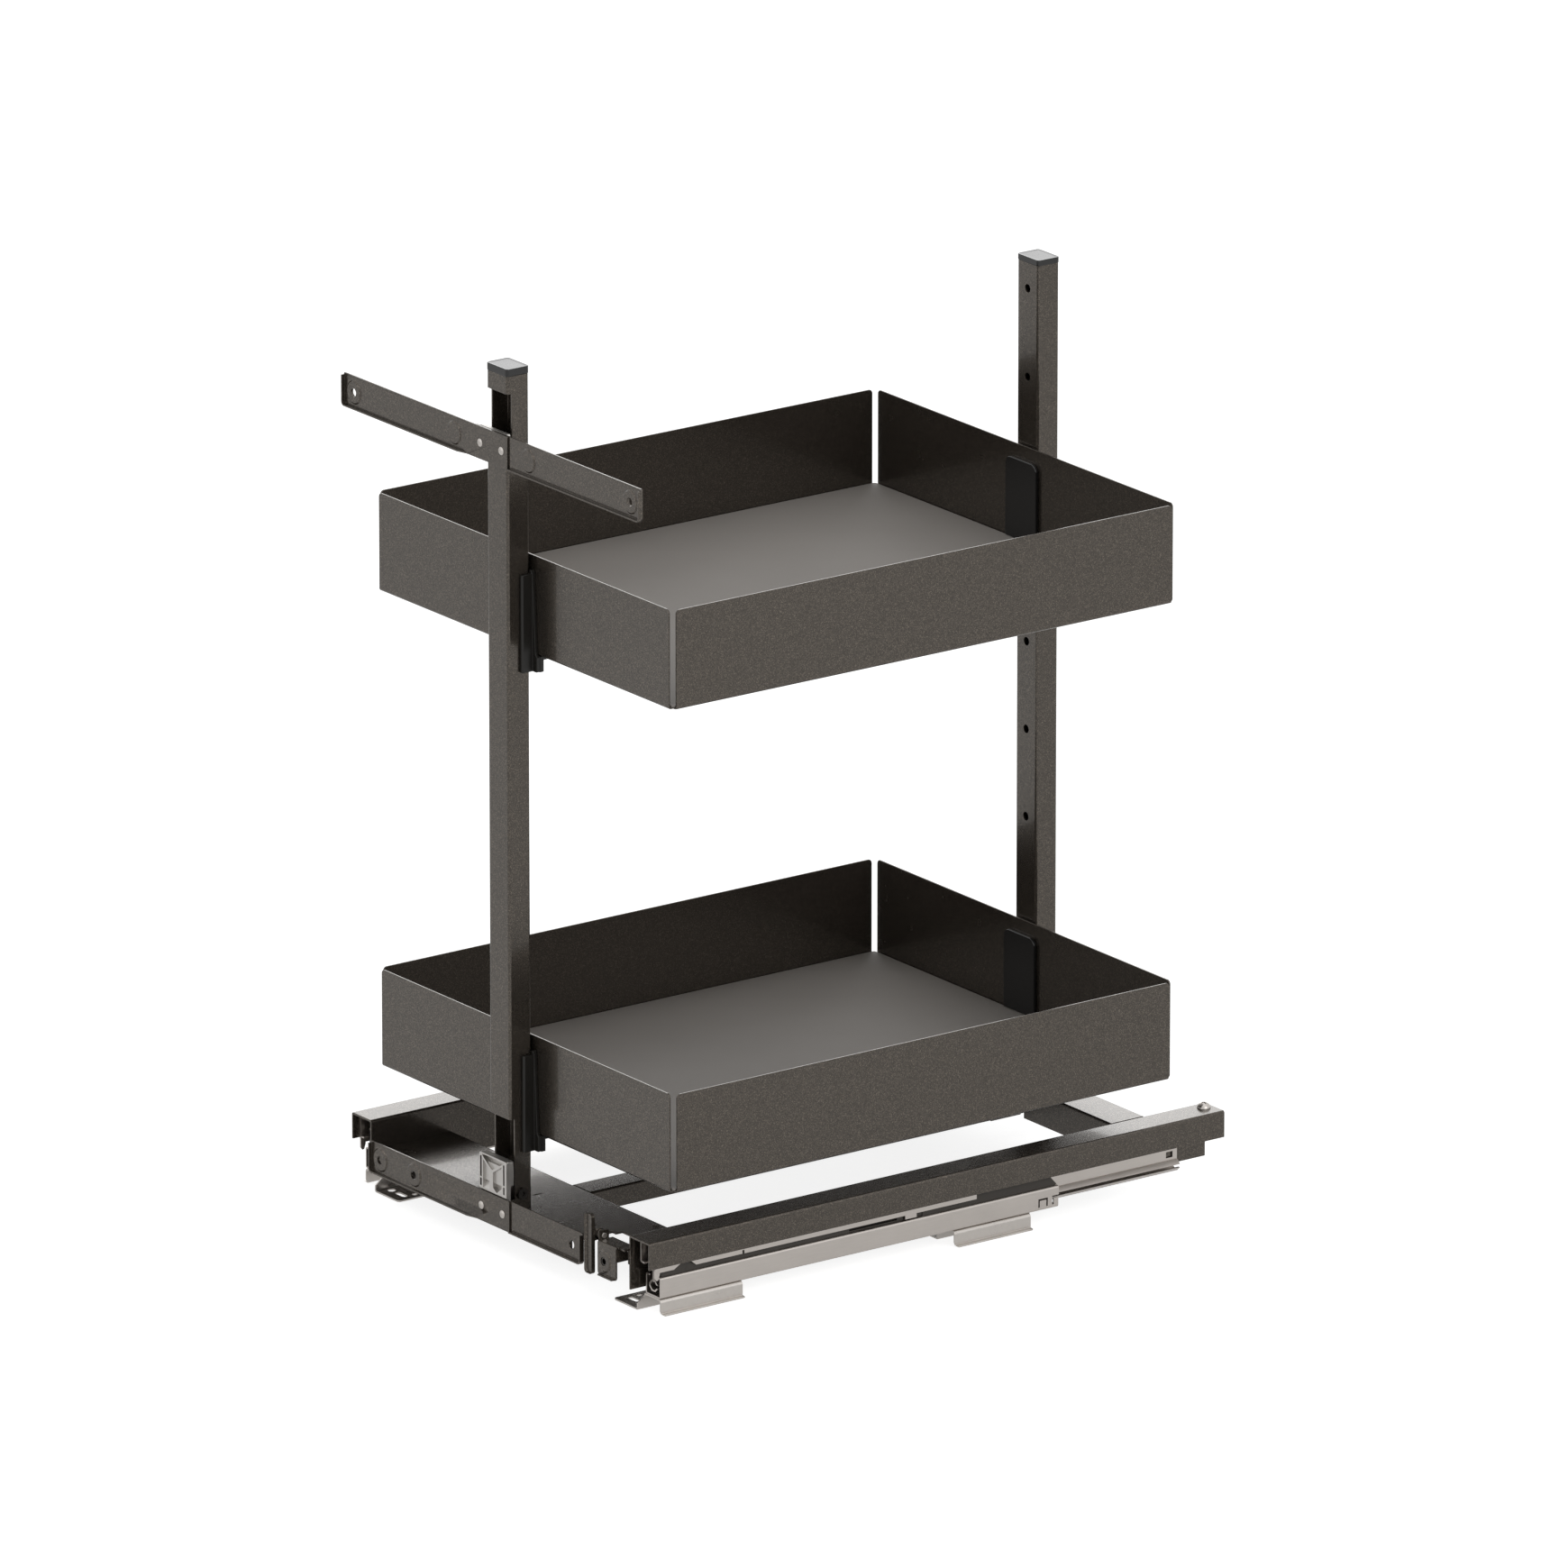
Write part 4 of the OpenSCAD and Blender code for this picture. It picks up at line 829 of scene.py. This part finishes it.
fit(arm("upper_left_door_arm", -upper_end, upper_lap, upper_y, upper_z0, upper_z1,
        (-upper_boss, -upper_inner_boss), (-upper_boss,), -upper_end, upper_left_stop, lip_fade),
    "upper_door_bar", "anthracite_steel", coat, "upper_left_arm")
fit(arm("upper_right_door_arm", -upper_lap, upper_end, upper_y + bar_sheet, upper_z0, upper_z1,
        (upper_boss, upper_inner_boss), (upper_boss,), upper_end, upper_right_stop, 0),
    "upper_door_bar", "anthracite_steel", coat, "upper_right_arm")
fit(arm("lower_left_door_arm", lower_left_end, lower_lap, lower_y, lower_z0, lower_z1,
        (-lower_boss, -lower_inner_boss), (-lower_boss, -lower_inner_boss), lower_left_end,
        lower_left_stop, lip_fade),
    "lower_door_bar", "anthracite_steel", coat, "lower_left_arm")
fit(arm("lower_right_door_arm", -upper_lap, lower_right_end, lower_y + bar_sheet, lower_z0, lower_z1,
        (), (lower_inner_boss,), lower_right_end, lower_right_stop, 0),
    "lower_door_bar", "anthracite_steel", coat, "lower_right_arm")

# Rivets of the door bars
# Zinc-plated steel with small domed heads, each with the dimple of the
# riveting tool, through both arms and the slider.
rivet_x, rivet_head_r, rivet_flat, rivet_shank_r = 12.5, 2.9, 0.36, 2
dimple_r, dimple_y = 0.8, -0.75
upper_rivet_end, lower_rivet_end = -142.4, -144.5
upper_middle, lower_middle = (upper_z0 + upper_z1) / 2, (lower_z0 + lower_z1) / 2


def rivet(x, y, z, end):
    ob = ball("rivet", x, y, z, rivet_head_r, (1, rivet_flat, 1))
    cut(ob, block("tool", (x - 9, y, z - 9), (x + 9, y + 9, z + 9)),
        rod("tool", (x, y - 3, z), (x, y + dimple_y, z), dimple_r, 16))
    add(ob, rod("tool", (x, y - 0.3, z), (x, end, z), rivet_shank_r))
    soften(ob, 0.12, 2, 50)
    return ob


for level, y, z, end in (("upper", upper_y, upper_middle, upper_rivet_end),
                         ("lower", lower_y, lower_middle, lower_rivet_end)):
    fit(joined(level + "_rivet_pair", rivet(-rivet_x, y, z, end), rivet(rivet_x, y, z, end)),
        level + "_door_bar", "zinc_plated_steel", zinc_parts, level + "_rivets")

# Sliders and keepers of the door bars
# Die-cast zinc sliders and plated steel keepers, hidden but for the lower slider.
# It has slots down both sides, deep pockets beside a web, a V field on top and
# a lug in the post's window.
slide_x, slide_top = 16.1, 70.3
slide_y0, slide_y1, pocket_floor = lower_y + 0.9, front_post_y - 0.3, lower_y + 5.0
step, node_z = lower_z1 + 0.6, lower_z1 + 14.4
back_step, back_lean = slide_y1 - 2.1, 7.8
side_slots = ((-15.2, -13.3), (12.1, 13.8))
left_pocket = [(-11.7, 50.2), (-11.7, step + 1), (-4.3, step + 1), (-4.3, 60.6), (-11.7, 65.6)]
right_pocket = [(0.1, 58.8), (0.1, 47.8), (4.3, step + 1), (10.4, 49.8), (10.4, 65.2)]
v_field = [(-12.6, 69.2), (-12.6, 68), (-1.6, 60.6), (-0.6, 60.6), (10.8, 67.3), (13.6, 69.2)]
ramp = [(pocket_floor + 0.5, 51.5), (pocket_floor, 51),
        (slide_y0 + 0.4, step + 1), (pocket_floor + 0.5, step)]
ramp_x0, ramp_x1 = -11.8, -4.2
lug_x, lug_h, slide_corner, rivet_hole_r = 11.8, 7, 1.5, 2.05

cast_zinc = zinc_plate("cast_zinc", (0.58, 0.56, 0.535, 1), 0.30, (1, 1, 1))
slider = block("lower_cast_slider", (-slide_x, lower_y + 2.4, lower_z0 + 0.6), (slide_x, slide_y1, slide_top))
add(slider, block("tool", (-slide_x, slide_y0, step), (slide_x, lower_y + 3, slide_top)))
round_edges(slider, slide_corner, 4, lambda m, e: runs_along("y", e) and abs(m.x) > slide_x - 0.1
            and (m.z > 70 or m.z < lower_z0 + 1))
for side in (-1, 1):
    cut(slider, prism("tool", [(slide_y1 + 1, node_z + 0.2), (slide_y1, node_z + 0.2),
                               (back_step, node_z - back_lean), (back_step, lower_z0),
                               (slide_y1 + 1, lower_z0)], "X", *sorted((side * lug_x, side * 17))))
for x0, x1 in side_slots:
    for z0, z1 in ((step + 8.6, 67.6), (step + 2, step + 7.4)):
        cut(slider, block("tool", (x0, slide_y0 - 1, z0), (x1, pocket_floor + 1, z1)))
for outline in (left_pocket, right_pocket, v_field):
    cut(slider, prism("tool", outline, "Y", slide_y0 - 1, pocket_floor))
add(slider, prism("tool", ramp, "X", ramp_x0, ramp_x1),
    block("tool", (-lug_x, lower_y + 2.5, node_z - lug_h), (lug_x, slide_y1 + 3.6, node_z + lug_h)))
for x in (-rivet_x, rivet_x):
    cut(slider, rod("tool", (x, -150, lower_middle), (x, -140, lower_middle), rivet_hole_r))
soften(slider, 0.22, 2, 30)
fit(slider, "lower_door_bar", "cast_zinc", cast_zinc, "lower_slider")
dress(cast_zinc, "upper_slider")
dress(zinc_parts, "upper_keeper", "lower_keeper")

# Release lever and its pin
# Pressed steel lever in front of the plate's notch, turning on a bright pin
# held in an ear of the adjuster bracket.
lever_low, lever_high = (111.6, -150.6, 18), (120.4, -147.4, 61.5)
lever_corner, pan_rim, pan_depth = 2.4, 1.1, 1.9
pin_y, pin_z, pin_r, pin_head_r = -143.2, 46.5, 2, 3.3
pin_x0, pin_x1, pin_head_x0, pin_head_x1 = 117.4, 125.9, 120.7, 123.8
ear_x0, ear_x1, ear_half = 119.2, 120.4, 4.2
lever = block("release_lever_plate", lever_low, lever_high)
round_edges(lever, lever_corner, 5, lambda m, e: runs_along("y", e))
select(lever, "FACE", lambda m, f: f.normal.y < -0.9)
bpy.ops.mesh.inset(thickness=pan_rim * MM)
bpy.ops.transform.translate(value=(0, pan_depth * MM, 0))
done()
add(lever, block("tool", (ear_x0, -148, pin_z - ear_half), (ear_x1, pin_y, pin_z + ear_half)),
    rod("tool", (ear_x0, pin_y, pin_z), (ear_x1, pin_y, pin_z), ear_half))
soften(lever, 0.2)
fit(lever, "lever", "anthracite_steel", coat, "release_lever")
pin = rod("lever_pin_turned", (pin_head_x0, pin_y, pin_z), (pin_head_x1, pin_y, pin_z), pin_head_r)
add(pin, rod("tool", (pin_x0, pin_y, pin_z), (pin_x1, pin_y, pin_z), pin_r))
soften(pin, 0.35, 3)
fit(pin, "carriage", "zinc_plated_steel", zinc_parts, "lever_pin")

# Adjuster bracket, screw and nut
# Folded bracket at the front of the right cover. The hexagon socket screw in
# its boss shifts the frame sideways against a nut on the plate.
adjuster_x, adjuster_y, adjuster_z = 125.3, -149, 19.9
adjuster_w, adjuster_h, adjuster_d, adjuster_corner = 21.5, 24.4, 13, 2.5
socket_x, socket_z, socket_boss_r = 133.5, 31.1, 6.8
screw_r, screw_hole_r, collar_r, hexagon_r = 3, 3.1, 5, 2.3
screw_y0, screw_y1, collar_y0, collar_y1, hexagon_y1 = -149.45, -104.8, -147.2, -146.0, -146.4
bracket = fold("adjuster_bracket_sheet", (adjuster_x, adjuster_y, adjuster_z), (adjuster_w, 0, 0),
               [(0, 0, adjuster_h), (0, adjuster_d, 0)], sheet, sheet_bend, -1)
round_edges(bracket, adjuster_corner, 4, lambda m, e: m.z < 21 and runs_along("y", e))
# the boss, the bottom lip, the arm and its web to the cover, the tab on the
# cover, and the ear that holds the lever's pin with its foot
add(bracket, raised_boss(socket_x, adjuster_y, socket_z, socket_boss_r),
    block("tool", (127.8, adjuster_y - 2, adjuster_z), (144.3, -148.4, 21.1)),
    block("tool", (146.0, -146.5, 42.9), (cover_x0, -136, 44.3)),
    block("tool", (145.3, -148.4, 33.6), (146.8, -138.8, 43.5)),
    block("tool", (cover_x0 - sheet, cover_y0, 33), (cover_x0, -136, 43.6)),
    block("tool", (adjuster_x - sheet, -147.4, 42.8), (adjuster_x, -139, 50.5)),
    block("tool", (124.2, -147.4, 42.9), (126.5, -139, 44.2)))
cut(bracket, rod("tool", (socket_x, -153, socket_z), (socket_x, -145, socket_z), screw_hole_r))
soften(bracket, 0.22)
fit(bracket, "carriage", "anthracite_steel", coat, "adjuster_bracket")
hex_screw = rod("adjuster_screw_turned", (socket_x, screw_y0, socket_z),
                (socket_x, screw_y1, socket_z), screw_r)
add(hex_screw, rod("tool", (socket_x, collar_y0, socket_z), (socket_x, collar_y1, socket_z), collar_r))
cut(hex_screw, rod("tool", (socket_x, -153, socket_z), (socket_x, hexagon_y1, socket_z), hexagon_r, 6))
soften(hex_screw, 0.2)
# the adjuster screw takes the dark finish as painted shade, standing for the dark of its recessed hole
fit(hex_screw, "side_screw", "zinc_plated_steel", blackened_and_shade_steel, "adjuster_screw")
dress(zinc_parts, "adjuster_nut")

# Camera
# A long lens from the right front, a little above the trays, as in the
# photograph. The frame fills about half of the picture.
azimuth, elevation = math.radians(53.987), math.radians(17.487)
camera_place = (11.3708, -8.1652, 4.7225)
sensor_width, image_width, focal_pixels = 36, 1740, 23617.4
towards_camera = Vector((math.sin(azimuth) * math.cos(elevation), -math.cos(azimuth) * math.cos(elevation),
                         math.sin(elevation)))
bpy.ops.object.camera_add(location=camera_place)
camera = bpy.context.object
camera.name = "camera"
camera.rotation_euler = (-towards_camera).to_track_quat("-Z", "Y").to_euler()
camera.data.sensor_width = sensor_width
camera.data.lens = sensor_width * focal_pixels / image_width
camera.data.clip_end = 200
bpy.context.scene.camera = camera

# Studio
# Pale floor that keeps a soft shadow, white all round for the camera and for
# reflections, soft lamps, and a large panel at the back left that the tops mirror.
floor_size, floor_drop = 60, 0.0005
floor_pale, floor_paler = (0.50, 0.50, 0.497, 1), (0.53, 0.53, 0.527, 1)
floor_seen, floor_mirrored = 0.84, 0.5
world_light, world_seen = 0.6, 1.0
ray_kinds = ("Is Camera Ray", "Is Glossy Ray", "Is Transmission Ray")


def studio_floor():
    bpy.ops.mesh.primitive_plane_add(size=floor_size, location=(0, 0, -floor_drop))
    ob = bpy.context.object
    ob.name = "floor"
    f = Finish("studio_floor", Roughness=0.95, Specular_IOR_Level=0.0, Emission_Color=(1, 1, 1, 1))
    f.give(Base_Color=f.blend(f.noise(3), floor_pale, floor_paler))
    seen, glossy, passed = [f.node("LightPath", {}, {}, ray) for ray in ray_kinds]
    f.give(Emission_Strength=seen * floor_seen + glossy * floor_mirrored + passed * floor_mirrored)
    ob.data.materials.append(f.material)


def lamp(name, place, aim, size, power):
    bpy.ops.object.light_add(type="AREA", location=place)
    ob = bpy.context.object
    ob.name = name
    ob.data.shape = "RECTANGLE"
    ob.data.size, ob.data.size_y = size
    ob.data.energy = power
    ob.rotation_euler = (Vector(aim) - Vector(place)).to_track_quat("-Z", "Y").to_euler()


def studio_world():
    world = bpy.data.worlds.new("studio_world")
    bpy.context.scene.world = world
    world.use_nodes = True
    n = Nodes(world.node_tree)
    seen, glossy, passed = [n.node("LightPath", {}, {}, ray) for ray in ray_kinds]
    for other in (glossy, passed):
        seen = n.node("Math", {"operation": "MAXIMUM"}, {0: seen, 1: other})
    strength = n.node("MapRange", {}, {"Value": seen, "To Min": world_light, "To Max": world_seen})
    background = n.tree.nodes["Background"]
    n.put(strength, background.inputs["Strength"])
    n.put((1, 1, 1, 1), background.inputs["Color"])


studio_floor()
lamp("top_softbox", (0.2, 0.0, 2.6), (0, 0, 0.3), (2.4, 2.4), 7)
lamp("right_softbox", (2.6, 0.4, 1.3), (0, 0, 0.3), (1.8, 2.0), 17)
lamp("front_softbox", (-0.6, -2.8, 1.4), (0, 0, 0.3), (2.2, 1.8), 6)
lamp("back_left_panel", (-3.9, 2.9, 2.05), (0, 0, 0.2), (2.6, 2.5), 30)
studio_world()
bpy.context.scene.view_settings.view_transform = "Standard"
